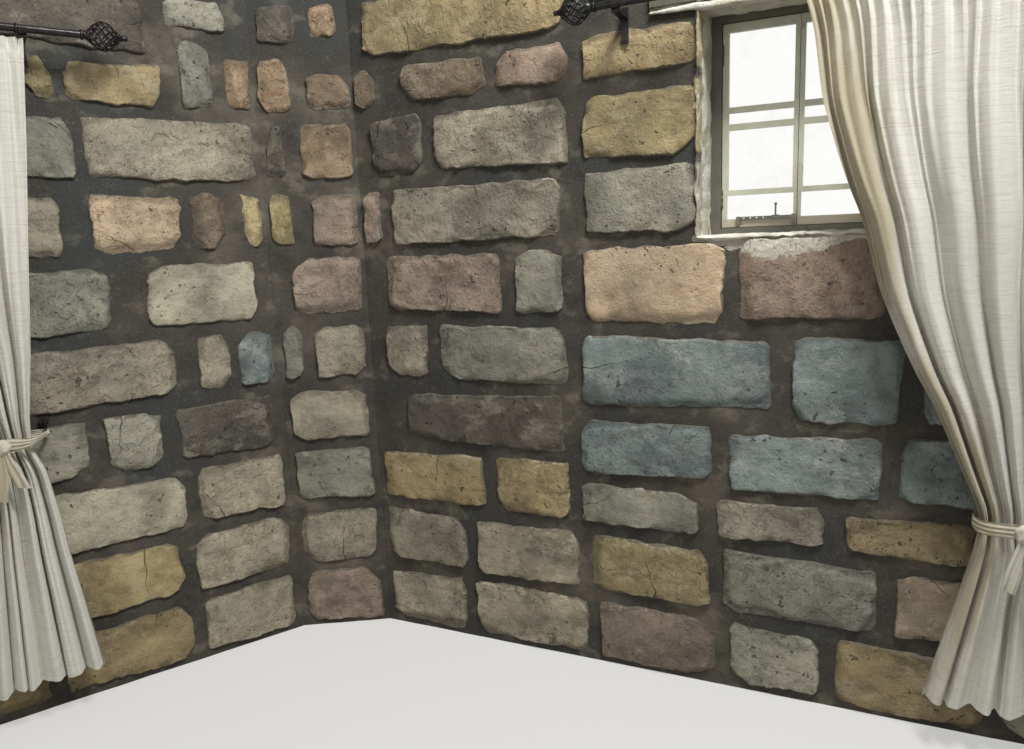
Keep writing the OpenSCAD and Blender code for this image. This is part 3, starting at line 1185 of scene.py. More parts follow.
    def _facets(self, block: Block, x: Array, z: Array, rng: Draws) -> tuple[Array, Array]:
        """Faces left by the hammer: planes that fall towards the rim, and shell-shaped flakes.

        Args:
            block: the stone.
            x: distances from its left edge, already warped.
            z: distances from its lower edge, already warped.
            rng: picks the faces.

        Returns:
            How far the surface is cut back, and how deep in a flake each point lies, from 0 to 1.
        """
        wide = block.right - block.left
        tall = block.high - block.low
        cut = np.zeros_like(x)
        for _ in range(round(4 + 6 * wide)):
            turn = rng.choice([0, 1, 2, 3]) * math.pi / 2 + rng.normal(0, 0.3)
            cos = math.cos(turn)
            sin = math.sin(turn)
            reach = abs(cos) * wide / 2 + abs(sin) * tall / 2 - rng.uniform(0.01, 0.055)
            beyond = (x - wide / 2) * cos + (z - tall / 2) * sin - reach
            cut = np.maximum(cut, np.clip(beyond, 0, 0.05) * rng.uniform(0.08, 0.36) * (0.4 + block.rough))
        flake = np.zeros_like(x)
        for _ in range(round((3 + 28 * wide) * block.rough)):
            turn = rng.uniform(-0.7, 0.7)
            dx = x - rng.uniform(0, wide)
            dz = z - rng.uniform(0, tall)
            long = rng.uniform(0.024, 0.085)
            short = long * rng.uniform(0.35, 0.75)
            along = (dx * math.cos(turn) + dz * math.sin(turn)) / long
            over = (dz * math.cos(turn) - dx * math.sin(turn)) / short
            bowl = np.clip(1 - along * along - over * over, 0, 1) ** 0.6
            flake = np.maximum(flake, bowl * (0.5 + 0.5 * rng.choice([-1, 1]) * np.clip(over, -1, 1)))
        return cut, flake

    def _crack(self, block: Block, x: Array, z: Array, pick: Draws) -> tuple[Array, Array]:
        """The line of a crack that runs in from the rim, on about two stones in five.

        Args:
            block: the stone.
            x: distances from its left edge, already warped.
            z: distances from its lower edge, already warped.
            pick: places the crack.

        Returns:
            Distance to the line, signed by the side, and how far along it a point lies, from 0 at its mouth
            to 1 where it closes.
        """
        wide = block.right - block.left
        tall = block.high - block.low
        if pick.random() > 0.42 or wide < 0.14:
            return np.ones_like(x), np.ones_like(x)
        far = bool(pick.integers(2))
        if pick.random() < 0.65:
            mouth = (pick.uniform(0.2, 0.8) * wide, tall if far else 0.0)
            turn = math.pi / 2 * (-1 if far else 1) + pick.normal(0, 0.4)
            length = pick.uniform(0.35, 1.0) * tall
        else:
            mouth = (wide if far else 0.0, pick.uniform(0.3, 0.7) * tall)
            turn = (math.pi if far else 0.0) + pick.normal(0, 0.25)
            length = pick.uniform(0.12, 0.4) * wide
        dx = x - mouth[0]
        dz = z - mouth[1]
        along = dx * math.cos(turn) + dz * math.sin(turn)
        bend = pick.uniform(-2.2, 2.2) * along * along
        aside = dz * math.cos(turn) - dx * math.sin(turn) + bend
        return aside, np.clip(along / length, 0, 1)

    def _relief(self, block: Block, noise: Roughness, rng: Draws) -> tuple[Array, Marks]:
        """Shape of one stone's face.

        Args:
            block: the stone.
            noise: its own roughness.
            rng: source of its slants and corners.

        Returns:
            Its points and its marks for the shader.
        """
        wide = block.right - block.left
        tall = block.high - block.low
        x, z = np.meshgrid(self._lines(wide), self._lines(tall))
        insets = [
            self._border(z, tall, noise, 1, rng) * (0 if block.open_left else 1),
            self._border(z, tall, noise, 2, rng) * (0 if block.open_right else 1),
            self._border(x, wide, noise, 3, rng),
            self._border(x, wide, noise, 4, rng),
        ]
        across = block.left + x + insets[0] * (1 - x / wide) ** 3 - insets[1] * (x / wide) ** 3
        up = block.low + z + insets[2] * (1 - z / tall) ** 3 - insets[3] * (z / tall) ** 3
        sides = [x, wide - x, z, tall - z]
        if block.open_left:
            sides[0] = np.full_like(x, 1.0)
        if block.open_right:
            sides[1] = np.full_like(x, 1.0)
        lift = np.ones_like(x)
        for side in sides:
            lift = lift * (1 - (1 - np.clip(side / 0.0045, 0, 1)) ** 2.2)
        rim = np.minimum.reduce(sides)
        rough = block.rough
        warp_x = x + 0.011 * noise.layers(across, up + 20, 0.05, 3)
        warp_z = z + 0.011 * noise.layers(across + 20, up, 0.05, 3)
        cut, flake = self._facets(block, warp_x, warp_z, rng)
        tilt = rng.uniform(-0.0016, 0.0016, 2)
        face = -0.0012 + tilt[0] * (x / wide - 0.5) + tilt[1] * (z / tall - 0.5)
        face = face + (0.0012 + 0.0014 * rough) * noise.layers(across, up, 0.14, 2)
        face = face + (0.0006 + 0.0014 * rough) * noise.layers(across, up + 7, 0.04, 3)
        face = face - cut - (0.0018 + 0.0046 * rough) * flake
        chips = smooth_step((noise.layers(across + 9, up, 0.045, 2) - 0.05) / 0.2)
        face = face - 0.0008 * np.exp(-rim / 0.006) - 0.006 * chips * np.clip(1 - rim / 0.024, 0, 1)
        face = np.clip(face, 0.0018 - self.RECESS, 0.002)
        if block.open_left:
            face = face * smooth_step((across - block.left) / 0.03)
        if block.open_right:
            face = face * smooth_step((block.right - across) / 0.03)
        sunk = self.RECESS + 0.005
        depth = -sunk + (sunk + face) * lift
        crack, reach = self._crack(block, warp_x, warp_z, np.random.default_rng(noise.seed))
        # rim, height and flake also set where the stone finish paints highlights and shade.
        marks = {
            "crack": crack,
            "reach": reach,
            "rim": np.clip(1 - rim / 0.02, 0, 1),
            "height": np.clip((face + 0.009) / 0.011, 0, 1),
            "flake": flake * rough,
            "rough": rough,
            "shade": block.shade,
            "lime": lime_share(across, up) if self.holes and self.depth_to_y is room_y else 0.0,
        }
        return np.stack([across, self.depth_to_y(depth), up], axis=-1), marks


def lime_share(across: Array, up: Array) -> Array:
    """How much lime a point of a bay's room face has: 1 at the window opening, 0 away from it.

    Args:
        across: local x.
        up: heights.

    Returns:
        The shares.
    """
    aside = np.maximum(np.maximum(WIN_A - across, across - WIN_B), 0) / 0.03
    run = 0.075 + 0.045 * np.cos((across - 1.46) * 2 * math.pi / 0.5)
    drop = np.where(up < SILL_Z, (SILL_Z - up) / run, np.maximum(up - HEAD_Z, 0) / 0.02)
    patchy = np.where((up > SILL_Z) & (up < HEAD_Z), 0.46, 1.0)
    return patchy * np.clip(1 - np.hypot(aside, drop), 0, 1)


def room_y(depth: Array) -> Array:
    """Local y of a depth out of the room face."""
    return -depth


def outside_y(depth: Array) -> Array:
    """Local y of a depth out of the outside face."""
    return WALL_T + depth


WINDOW_HOLE = (WIN_A, WIN_B, SILL_Z, HEAD_Z)
LINTEL_HOLE = (WIN_A - LINTEL_BEARING, WIN_B + LINTEL_BEARING, HEAD_Z, LINTEL_TOP)

RIGHT_STONES = {
    9: (Block(0.05, 0.82, Tone.TAN), Block(0.87, 1.06, Tone.DARK, 2.2)),
    8: (
        Block(0.006, 0.09, Tone.BROWN),
        Block(0.2, 0.53, Tone.BROWN),
        Block(0.565, 0.83, Tone.RED),
        Block(0.868, 1.229, Tone.TAN),
        Block(1.79, 2.05, Tone.PALE),
        Block(2.09, 2.5, Tone.TAN),
    ),
    7: (
        Block(0.06, 0.275, Tone.DARK),
        Block(0.315, 0.815, Tone.PALE),
        Block(0.866, 1.229, Tone.OLIVE, rough=0.35),
    ),
    6: (
        Block(0.006, 0.086, Tone.PINK),
        Block(0.13, 0.785, Tone.PALE, rough=1.0),
        Block(0.868, 1.229, Tone.CREAM, rough=0.6),
    ),
    5: (
        Block(0.085, 0.56, Tone.PINK, rough=1.0),
        Block(0.61, 0.79, Tone.GREEN, rough=0.4),
        Block(0.86, 1.317, Tone.PEACH, 1.215, rough=0.3),
        Block(1.352, 1.765, Tone.RED, 1.225, 1.476, 0.8),
        Block(1.8, 2.2, Tone.PINK),
    ),
    4: (
        Block(0.07, 0.25, Tone.PALE),
        Block(0.3, 0.795, Tone.GREEN),
        Block(0.845, 1.455, Tone.BLUE, 0.94, 1.172),
        Block(1.51, 1.815, Tone.BLUE, 0.92, 1.178),
        Block(1.86, 2.24, Tone.BLUE, 0.93, 1.18),
    ),
    3: (
        Block(0.14, 0.775, Tone.DARK),
        Block(0.83, 1.28, Tone.BLUE, 0.7, 0.89),
        Block(1.327, 1.77, Tone.BLUE, 0.69, 0.88),
        Block(1.81, 2.46, Tone.BLUE, 0.7, 0.9),
    ),
    2: (
        Block(0.83, 1.24, Tone.GREEN, 0.52, 0.66),
        Block(1.29, 1.62, Tone.PALE, 0.52, 0.65),
        Block(1.67, 2.02, Tone.TAN, 0.52, 0.65),
        Block(2.07, 2.5, Tone.GREEN, 0.52, 0.66),
    ),
}
CORNER_STONES = {
    9: (Block(-0.15, -0.01, Tone.DARK, 2.21), Block(0.03, 0.13, Tone.ORANGE, 2.225)),
    8: (Block(0.005, 0.164, Tone.BROWN), Block(-0.164, -0.045, Tone.ORANGE, high=2.165)),
    7: (Block(-0.035, 0.162, Tone.ORANGE), Block(-0.155, -0.085, Tone.DARK)),
    6: (Block(-0.01, 0.164, Tone.PINK), Block(-0.164, -0.075, Tone.OLIVE)),
    5: (Block(-0.1, 0.162, Tone.PINK),),
    4: (Block(-0.04, 0.155, Tone.PALE), Block(-0.155, -0.08, Tone.GREEN)),
}
LEFT_STONES = {
    9: (Block(2.72, 2.925, Tone.GREEN, 2.235), Block(2.15, 2.66, Tone.DARK)),
    8: (
        Block(1.9, 2.26, Tone.GREEN),
        Block(2.295, 2.385, Tone.OLIVE),
        Block(2.4, 2.695, Tone.TAN),
        Block(2.75, 2.862, Tone.GREEN, high=2.2),
        Block(2.9, 2.994, Tone.ORANGE, high=2.165),
    ),
    7: (Block(2.2, 2.412, Tone.GREEN), Block(2.435, 2.985, Tone.PALE)),
    6: (
        Block(2.1, 2.35, Tone.PALE),
        Block(2.424, 2.71, Tone.PEACH),
        Block(2.74, 2.86, Tone.BROWN),
        Block(2.915, 2.994, Tone.OLIVE),
    ),
    5: (Block(2.1, 2.465, Tone.GREEN), Block(2.57, 2.945, Tone.CREAM)),
    4: (
        Block(2.15, 2.64, Tone.PALE),
        Block(2.71, 2.83, Tone.PALE),
        Block(2.85, 2.985, Tone.BLUE),
    ),
    3: (
        Block(1.9, 2.34, Tone.GREEN),
        Block(2.385, 2.57, Tone.GREEN),
        Block(2.62, 2.96, Tone.DARK),
    ),
}


@dataclass
class Masonry:
    """The stone wall: recessed mortar, dressed stones on both faces and at the cut ends.

    Attributes:
        finishes: all the materials.
        nodes: the CAD nodes by name.
    """

    FINE = 0.0095
    COARSE = 0.024
    MORTAR_CELL = 0.028
    NEAR = 0.001
    SEEDS = {Side.RIGHT: 11, Side.LEFT: 23}
    CORNER_SEED = 31

    finishes: Finishes
    nodes: dict[str, Piece]

    def build(self) -> None:
        """Builds the mortar and the stones of both bays and the short side."""
        self._bay(Side.RIGHT, RIGHT_STONES)
        self._bay(Side.LEFT, LEFT_STONES)
        self._corner()

    def _bay(self, side: Side, given: dict[int, tuple[Block, ...]]) -> None:
        """Builds a long side.

        Args:
            side: which bay.
            given: its given stones by course number.
        """
        name = side.value
        place = BAY_PLACES[side]
        seed = self.SEEDS[side]
        holes = (WINDOW_HOLE, LINTEL_HOLE)
        right = side is Side.RIGHT
        walls = [f"{name}_{part}" for part in ("near_pier", "far_pier", "under_wall", "over_wall")]
        self._mortar(f"{name}_bay_mortar", place, walls, 0.0, BAY_LENGTH, holes, right)
        ends = (Arris.NONE, Arris.RIGHT_END) if right else (Arris.LEFT_END, Arris.NONE)
        inside = WallFace(place, 0.0, BAY_LENGTH, room_y, seed, given, holes, self.FINE, ends)
        self._stones(f"{name}_bay_stones_inside", inside)
        ends = (Arris.RIGHT_CORNER, Arris.RIGHT_END) if right else (Arris.LEFT_END, Arris.LEFT_CORNER)
        span = (-MITRE_REACH, BAY_LENGTH + MITRE_REACH)
        outside = WallFace(
            place, *span, outside_y, seed + 1, holes=holes, fine=self.COARSE, wrap=ends, length=0.46
        )
        self._stones(f"{name}_bay_stones_outside", outside, self._end_face(side, seed + 2))

    def _corner(self) -> None:
        """Builds the short side."""
        place = CORNER_PLACE
        half = SHORT_LENGTH / 2
        seed = self.CORNER_SEED
        self._mortar("corner_mortar", place, ["corner_wall"], -half, half)
        inside = WallFace(place, -half, half, room_y, seed, CORNER_STONES, fine=self.FINE)
        self._stones("corner_stones_inside", inside)
        ends = (Arris.LEFT_CORNER, Arris.RIGHT_CORNER)
        span = (-half - MITRE_REACH, half + MITRE_REACH)
        outside = WallFace(place, *span, outside_y, seed + 1, fine=self.COARSE, wrap=ends, length=0.3)
        self._stones("corner_stones_outside", outside)

    def _end_face(self, side: Side, seed: int) -> WallFace:
        """The cut end of a bay, one stone to a course.

        Args:
            side: which bay.
            seed: picks its stones.

        Returns:
            The face.
        """
        width = WALL_T / math.cos(TURN / 2)
        right = side is Side.RIGHT
        inner = BAY_PLACES[side].to_row(np.array([BAY_LENGTH if right else 0.0, 0.0, 0.0]))
        angle = (math.pi / 2 - TURN * 1.5) * (1 if right else -1)
        place = Place((float(inner[0]), float(inner[1])), angle, 0.0 if right else width)
        arris = Arris.RIGHT_END if right else Arris.LEFT_END
        return WallFace(place, 0.0, width, room_y, seed, fine=0.02, wrap=(arris, arris), length=0.6)

    def _stones(self, name: str, *faces: WallFace) -> None:
        """Makes one piece of the stones of some faces.

        Args:
            name: name of the piece.
            faces: the faces.
        """
        sheaf = Sheaf()
        for face in faces:
            face.lay(sheaf)
        keep(sheaf.to_object(name, [self.finishes.stones[tone] for tone in Tone]))

    def _mortar(
        self,
        name: str,
        place: Place,
        walls: Sequence[str],
        left: float,
        right: float,
        holes: Sequence[Hole] = (),
        end_at_right: bool = True,
    ) -> None:
        """Makes the mortar body of some wall nodes, set back from both faces, with trowelled faces.

        Args:
            name: name of the piece.
            place: frame of the wall.
            walls: nodes that it stands for.
            left: left end of the room face.
            right: right end of the room face.
            holes: parts left open; a wall with holes also has a cut end.
            end_at_right: whether the cut end is the right one.
        """
        sheaf = Sheaf()
        back = WallFace.RECESS + 0.003
        for wall in walls:
            self._core(sheaf, self.nodes[wall], place, back, bool(holes), end_at_right)
        for seat, face in ((WallFace.RECESS, room_y), (WALL_T - WallFace.RECESS, outside_y)):
            self._panel(sheaf, place, left - seat * MITRE, right + seat * MITRE, face, holes)
        keep(sheaf.to_object(name, [self.finishes.mortar]), walls)

    def _core(
        self, sheaf: Sheaf, node: Piece, place: Place, back: float, has_end: bool, end_at_right: bool
    ) -> None:
        """Adds a wall node's solid with its two faces and its cut end set back.

        Args:
            sheaf: where it goes.
            node: the CAD node.
            place: frame of the wall.
            back: how far the faces are set back.
            has_end: whether the wall has a cut end.
            end_at_right: whether that end is the right one.
        """
        local = place.to_local(np.array([node.matrix_world @ vert.co for vert in node.data.vertices]))
        along, depth = local[:, :2].T.copy()
        lean = depth * MITRE
        if has_end and end_at_right:
            local[along > BAY_LENGTH + lean - self.NEAR, 0] -= back
        elif has_end:
            local[along < self.NEAR - lean, 0] += back
        local[depth > WALL_T - self.NEAR, 1] = WALL_T - back
        local[depth < self.NEAR, 1] = back
        row = place.to_row(local)
        for face in node.data.polygons:
            corners = list(face.vertices)
            for second, third in zip(corners[1:], corners[2:]):
                ring = row[[corners[0], second, third]]
                sheaf.add_grid(np.array([[ring[0], ring[1]], [ring[0], ring[2]]]))

    def _panel(
        self,
        sheaf: Sheaf,
        place: Place,
        left: float,
        right: float,
        depth_to_y: Callable[[Array], Array],
        holes: Sequence[Hole],
    ) -> None:
        """Adds a trowelled mortar face with holes left for the window and the lintel.

        Args:
            sheaf: where it goes.
            place: frame of the wall.
            left: left end.
            right: right end.
            depth_to_y: turns depth into local y.
            holes: parts left open.
        """
        noise = Roughness(77)
        flip = depth_to_y is outside_y
        stops_x = sorted({left, right, *(stop for hole in holes for stop in hole[:2])})
        stops_z = sorted({0.0, WALL_H, *(stop for hole in holes for stop in hole[2:])})
        for x0, x1 in zip(stops_x, stops_x[1:]):
            for z0, z1 in zip(stops_z, stops_z[1:]):
                middle = ((x0 + x1) / 2, (z0 + z1) / 2)
                if any(h[0] < middle[0] < h[1] and h[2] < middle[1] < h[3] for h in holes):
                    continue
                counts = [max(2, round(length / self.MORTAR_CELL) + 1) for length in (x1 - x0, z1 - z0)]
                across, up = np.meshgrid(np.linspace(x0, x1, counts[0]), np.linspace(z0, z1, counts[1]))
                depth = -WallFace.RECESS + 0.0022 * noise.layers(across, up, 0.09, 2)
                grid = np.stack([across, depth_to_y(depth), up], axis=-1)
                limed = lime_share(across, up) if holes and not flip else 0.0
                sheaf.add_grid(place.to_row(grid), marks={"lime": limed}, flip=flip)


@dataclass
class Reveal:
    """Lime plaster drawn round the window opening on the room side.

    Attributes:
        side: which bay.
        material: the plaster.
        thick: its thickness.
    """

    FACE_ROWS = 3
    ARRIS_ROWS = 5

    side: Side
    material: Material
    thick: float = 0.006

    def build(self) -> None:
        """Builds the strips on both reveals, the sill and the head, and the lip under the lintel."""
        sheaf = Sheaf()
        noise = Roughness(41 if self.side is Side.RIGHT else 43)
        for upright, low, high in ((True, WIN_A, WIN_B), (False, SILL_Z, HEAD_Z)):
            self._strip(sheaf, noise, low, 1, upright)
            self._strip(sheaf, noise, high, -1, upright)
        self._lip(sheaf, noise)
        keep(sheaf.to_object(f"{self.side.value}_reveal_plaster", [self.material]))

    def _strip(self, sheaf: Sheaf, noise: Roughness, line: float, way: int, upright: bool) -> None:
        """Adds one strip that wraps from the wall face into the opening.

        Args:
            sheaf: where it goes.
            noise: roughness of the plaster.
            line: place of the arris.
            way: 1 if the opening lies on the greater side of it, else -1.
            upright: True on the reveals, False on the sill and the head.
        """
        span = (SILL_Z, HEAD_Z) if upright else (WIN_A, WIN_B)
        along = np.linspace(span[0], span[1], 90)
        steps = [(-0.004, 0.012), (0.001, 0.003), (0.0015, 0.0005), (0.001, 0.0012)]
        steps.append((self.thick * 0.7, 0.007))
        steps += [(self.thick, depth) for depth in np.linspace(0.016, SET_BACK, 15)]
        rows = []
        for number, (offset, depth) in enumerate(steps):
            ragged = -0.016 * abs(noise.layers(along, along * 0 + number * 0.003, 0.06, 3))
            lumps = 0.005 * noise.layers(along + 2, along * 0 + depth, 0.035, 3)
            shift = ragged if number < self.FACE_ROWS else lumps
            hollow = 0.003 * noise.layers(along + 4, along * 0 + depth, 0.03, 2)
            hollow = hollow if number < self.ARRIS_ROWS else 0
            edge = line + way * (offset + shift)
            y = np.maximum(np.full_like(along, depth) + hollow, 0.0)
            rows.append(np.stack([edge, y, along] if upright else [along, y, edge], axis=-1))
        grid = BAY_PLACES[self.side].to_row(np.array(rows))
        deep = np.array([depth for _, depth in steps])[:, None]
        marks = self._cover(along, deep, noise) if upright else {"lime": 1.0}
        sheaf.add_grid(grid, marks=marks, flip=(way > 0) == upright)

    def _cover(self, up: Array, depth: Array, noise: Roughness) -> Marks:
        """Marks of a reveal: lime at the frame, and stone ends and joints that show through at the arris.

        Args:
            up: heights.
            depth: depths into the opening.
            noise: roughness of the plaster.

        Returns:
            The marks.
        """
        level = up + 0.008 * noise.layers(up, depth, 0.05, 2)
        joints = np.minimum(abs(level - WallFace.COURSES[7]), abs(level - WallFace.COURSES[8]))
        shape = np.broadcast(up, depth).shape
        return {
            "height": smooth_step((joints - 0.014) / 0.01),
            "shade": smooth_step((level - WallFace.COURSES[7]) / 0.01),
            "lime": np.broadcast_to(0.22 + 0.7 * smooth_step(depth / 0.15), shape),
        }

    def _lip(self, sheaf: Sheaf, noise: Roughness) -> None:
        """Adds the rough plaster lip that hangs under the lintel's room side.

        Args:
            sheaf: where it goes.
            noise: roughness of the plaster.
        """
        along = np.linspace(WIN_A - LINTEL_BEARING, WIN_B + LINTEL_BEARING, 140)
        inside = smooth_step((along - WIN_A + 0.01) / 0.02) * smooth_step((WIN_B + 0.01 - along) / 0.02)
        ends = np.clip((along - along[0]) / (WIN_A - along[0]), 0, 1) * np.clip(
            (along[-1] - along) / (along[-1] - WIN_B), 0, 1
        )
        low = HEAD_Z - 0.02 - 0.007 * ends + 0.003 * noise.layers(along, along * 0 + 1, 0.08, 3)
        high = low + 0.006 + 0.015 * ends + 0.002 * noise.layers(along, along * 0 + 2, 0.05, 3)
        back = 0.006 + 0.03 * inside
        rows = []
        for rise, y in ((1.0, 0.006), (0.92, 0.0), (0.6, -0.002), (0.3, -0.002), (0.06, 0.0), (0.0, 0.004)):
            lumps = 0.001 * noise.layers(along, along * 0 + rise * 0.1, 0.03, 3)
            rows.append(np.stack([along, y + lumps, low + (high - low) * rise], axis=-1))
        rows.append(np.stack([along, back, low + 0.003], axis=-1))
        rows.append(np.stack([along, back + 0.004, np.maximum(low, HEAD_Z + 0.002)], axis=-1))
        sheaf.add_grid(BAY_PLACES[self.side].to_row(np.array(rows)), marks={"lime": 1.0}, flip=True)


@dataclass
class Casement:
    """Dress of a window: paint, glass, hinges and rounded edges on the CAD members.

    Attributes:
        side: which bay.
        finishes: all the materials.
        nodes: the CAD nodes by name.
        jamb: distance from the opening's side to the hinges.
        hinge: distance from the opening's sill or head to a hinge.
    """

    KNUCKLES = (
        (-0.032, 0.0), (-0.03, 0.004), (-0.011, 0.0045), (-0.0105, 0.0036), (-0.01, 0.0045),
        (0.01, 0.0045), (0.0105, 0.0036), (0.011, 0.0045), (0.03, 0.004), (0.032, 0.0),
    )

    side: Side
    finishes: Finishes
    nodes: dict[str, Piece]
    jamb: float = 0.04
    hinge: float = 0.12

    def build(self) -> None:
        """Finishes the CAD members, each with the width of its softened edges, and adds the hinges."""
        dress = (
            ("window_frame", self.finishes.frame_paint, 0.0025),
            ("hung_leaf", self.finishes.sash_paint, 0.0022),
            ("slave_leaf", self.finishes.sash_paint, 0.0022),
            ("hung_glass", self.finishes.glass, 0.0),
            ("slave_glass", self.finishes.glass, 0.0),
            ("peg_stay", self.finishes.stay, 0.0008),
            ("lintel", self.finishes.lintel, 0.006),
            ("outer_sill", self.finishes.sill, 0.004),
        )
        for part, material, round_edge in dress:
            paint(self.nodes[f"{self.side.value}_{part}"], material, round_edge)
        self._hinges()

    def _hinges(self) -> None:
        """Adds two butt hinges' knuckles at each jamb."""
        sheaf = Sheaf()
        place = BAY_PLACES[self.side]
        for across in (WIN_A + self.jamb, WIN_B - self.jamb):
            for up in (SILL_Z + self.hinge, HEAD_Z - self.hinge):
                height, side, deep = turned(self.KNUCKLES, 14)
                barrel = np.stack([across + side, SET_BACK + 0.009 + deep, up + height], axis=-1)
                sheaf.add_grid(place.to_row(barrel), closed=True)
        keep(sheaf.to_object(f"{self.side.value}_hinges", [self.finishes.frame_paint]))


def turned(profile: Outline, count: int) -> tuple[Array, Array, Array]:
    """A shape turned about an axis.

    Args:
        profile: distances along the axis and radii.
        count: points round the axis.

    Returns:
        Distances along the axis, and the two offsets from it.
    """
    angles = np.linspace(0, 2 * math.pi, count, endpoint=False)
    along, angle = np.meshgrid([point[0] for point in profile], angles, indexing="ij")
    radius = np.array([point[1] for point in profile])[:, None]
    return along, radius * np.cos(angle), radius * np.sin(angle)


def paint(piece: Piece, material: Material, round_edge: float = 0.0) -> None:
    """Gives a CAD node its material, and softens its edges with a modifier.

    Args:
        piece: the CAD node.
        material: its finish.
        round_edge: width of the softened edge, or 0.
    """
    if not piece.data.materials:
        piece.data.materials.append(material)
    for slot in piece.material_slots:
        slot.material = material
    if round_edge:
        soften = piece.modifiers.new("soft_edges", "BEVEL")
        soften.width = round_edge
        soften.segments = 2
        soften.limit_method = "ANGLE"
        soften.angle_limit = math.radians(40)
    log.info("%s: %s", piece.name, material.name)


@dataclass
class CurtainPole:
    """The wrought-iron pole with its brackets, rings and lattice finials.

    Attributes:
        side: which bay.
        finishes: all the materials.
        nodes: the CAD nodes by name.
        start: local x of the pole's start.
        end: local x of the pole's end.
    """

    side: Side
    finishes: Finishes
    nodes: dict[str, Piece]
    start: float = 0.955
    end: float = 2.455

    def build(self) -> None:
        """Finishes the CAD parts and builds both finials."""
        for part in ("pole", "start_bracket", "end_bracket", "rings", "tie_hook"):
            piece = self.nodes[f"{self.side.value}_{part}"]
            paint(piece, self.finishes.iron, 0.0008 if "bracket" in part else 0.0)
        Finial(self.side, "start_finial", self.start, -1).build(self.finishes.iron)
        Finial(self.side, "end_finial", self.end, 1).build(self.finishes.iron)


@dataclass
class Finial:
    """Finial of a pole: collar, basket of crossing straps with rounded edges, cap and blunt tip.

    Attributes:
        side: which bay.
        part: name of the node it stands for.
        base: local x of the pole's end.
        way: 1 if it points along x, else -1.
        off: distance of the pole's centre line from the wall.
        height: height of that line.
        neck: distance from the pole's end to the basket.
        basket: length of the basket.
        widest: its greatest radius.
        narrow: its radius before it swells.
        straps: straps in each direction.
        twist: turn of a strap from end to end.
    """

    COLLAR = (
        (0.0, 0.0), (0.0, 0.014), (0.001, 0.015), (0.007, 0.015), (0.008, 0.013),
        (0.011, 0.0118), (0.016, 0.0135), (0.021, 0.018), (0.0225, 0.0185), (0.023, 0.0),
    )
    CAP = (
        (-0.007, 0.0), (-0.0065, 0.019), (-0.005, 0.02), (-0.001, 0.0165), (0.004, 0.011), (0.009, 0.0085),
        (0.013, 0.0075), (0.016, 0.0075), (0.0185, 0.0082), (0.022, 0.0079), (0.025, 0.0055), (0.0262, 0.0),
    )
    SECTION = (
        (-0.003, -0.0022), (-0.0032, -0.0012), (-0.0026, 0.0), (0.0, 0.0005),
        (0.0026, 0.0), (0.0032, -0.0012), (0.003, -0.0022), (0.0, -0.0028),
    )

    side: Side
    part: str
    base: float
    way: int
    off: float = 0.1
    height: float = 2.16
    neck: float = 0.02
    basket: float = 0.086
    widest: float = 0.0435
    narrow: float = 0.009
    straps: int = 9
    twist: float = math.radians(150)

    def build(self, iron: Material) -> None:
        """Builds the finial.

        Args:
            iron: its material.
        """
        sheaf = Sheaf()
        for profile, shift in ((self.COLLAR, 0.0), (self.CAP, self.neck + self.basket)):
            along, out, up = turned(profile, 28)
            sheaf.add_grid(self._set(shift + along, out, up), flip=self.way > 0, closed=True)
        for number in range(self.straps):
            angle = 2 * math.pi * number / self.straps
            self._strap(sheaf, angle, 1, 0.0)
            self._strap(sheaf, angle, -1, 0.0009)
        name = f"{self.side.value}_{self.part}"
        keep(sheaf.to_object(name + "_lattice", [iron]), [name])

    def _radius(self, share: float) -> float:
        """Radius of the basket at a share of its length."""
        return self.narrow + (self.widest - self.narrow) * math.sin(math.pi * (0.06 + 0.88 * share))

    def _set(self, along: Array, out: Array, up: Array) -> Array:
        """Points in the row frame.

        Args:
            along: distance from the pole's end.
            out: distance outside of its axis.
            up: height over its axis.

        Returns:
            The points.
        """
        points = np.stack([self.base + self.way * along, -self.off + out, self.height + up], axis=-1)
        return BAY_PLACES[self.side].to_row(points)

    def _strap(self, sheaf: Sheaf, angle: float, wind: int, sink: float) -> None:
        """Adds one strap of the basket.

        Args:
            sheaf: where it goes.
            angle: where it starts round the axis.
            wind: way it winds.
            sink: how far it lies under the others.
        """
        rows = []
        for share in np.linspace(0, 1, 37):
            radius = self._radius(share) - sink
            turn = angle + wind * self.twist * share
            ring = [(turn + wide / max(radius, 0.012), radius + thick) for wide, thick in self.SECTION]
            along = self.neck + self.basket * share
            rows.append([(along, reach * math.cos(t), reach * math.sin(t)) for t, reach in ring])
        grid = np.array(rows)
        placed = self._set(grid[..., 0], grid[..., 1], grid[..., 2])
        sheaf.add_grid(placed, flip=self.way < 0, closed=True)


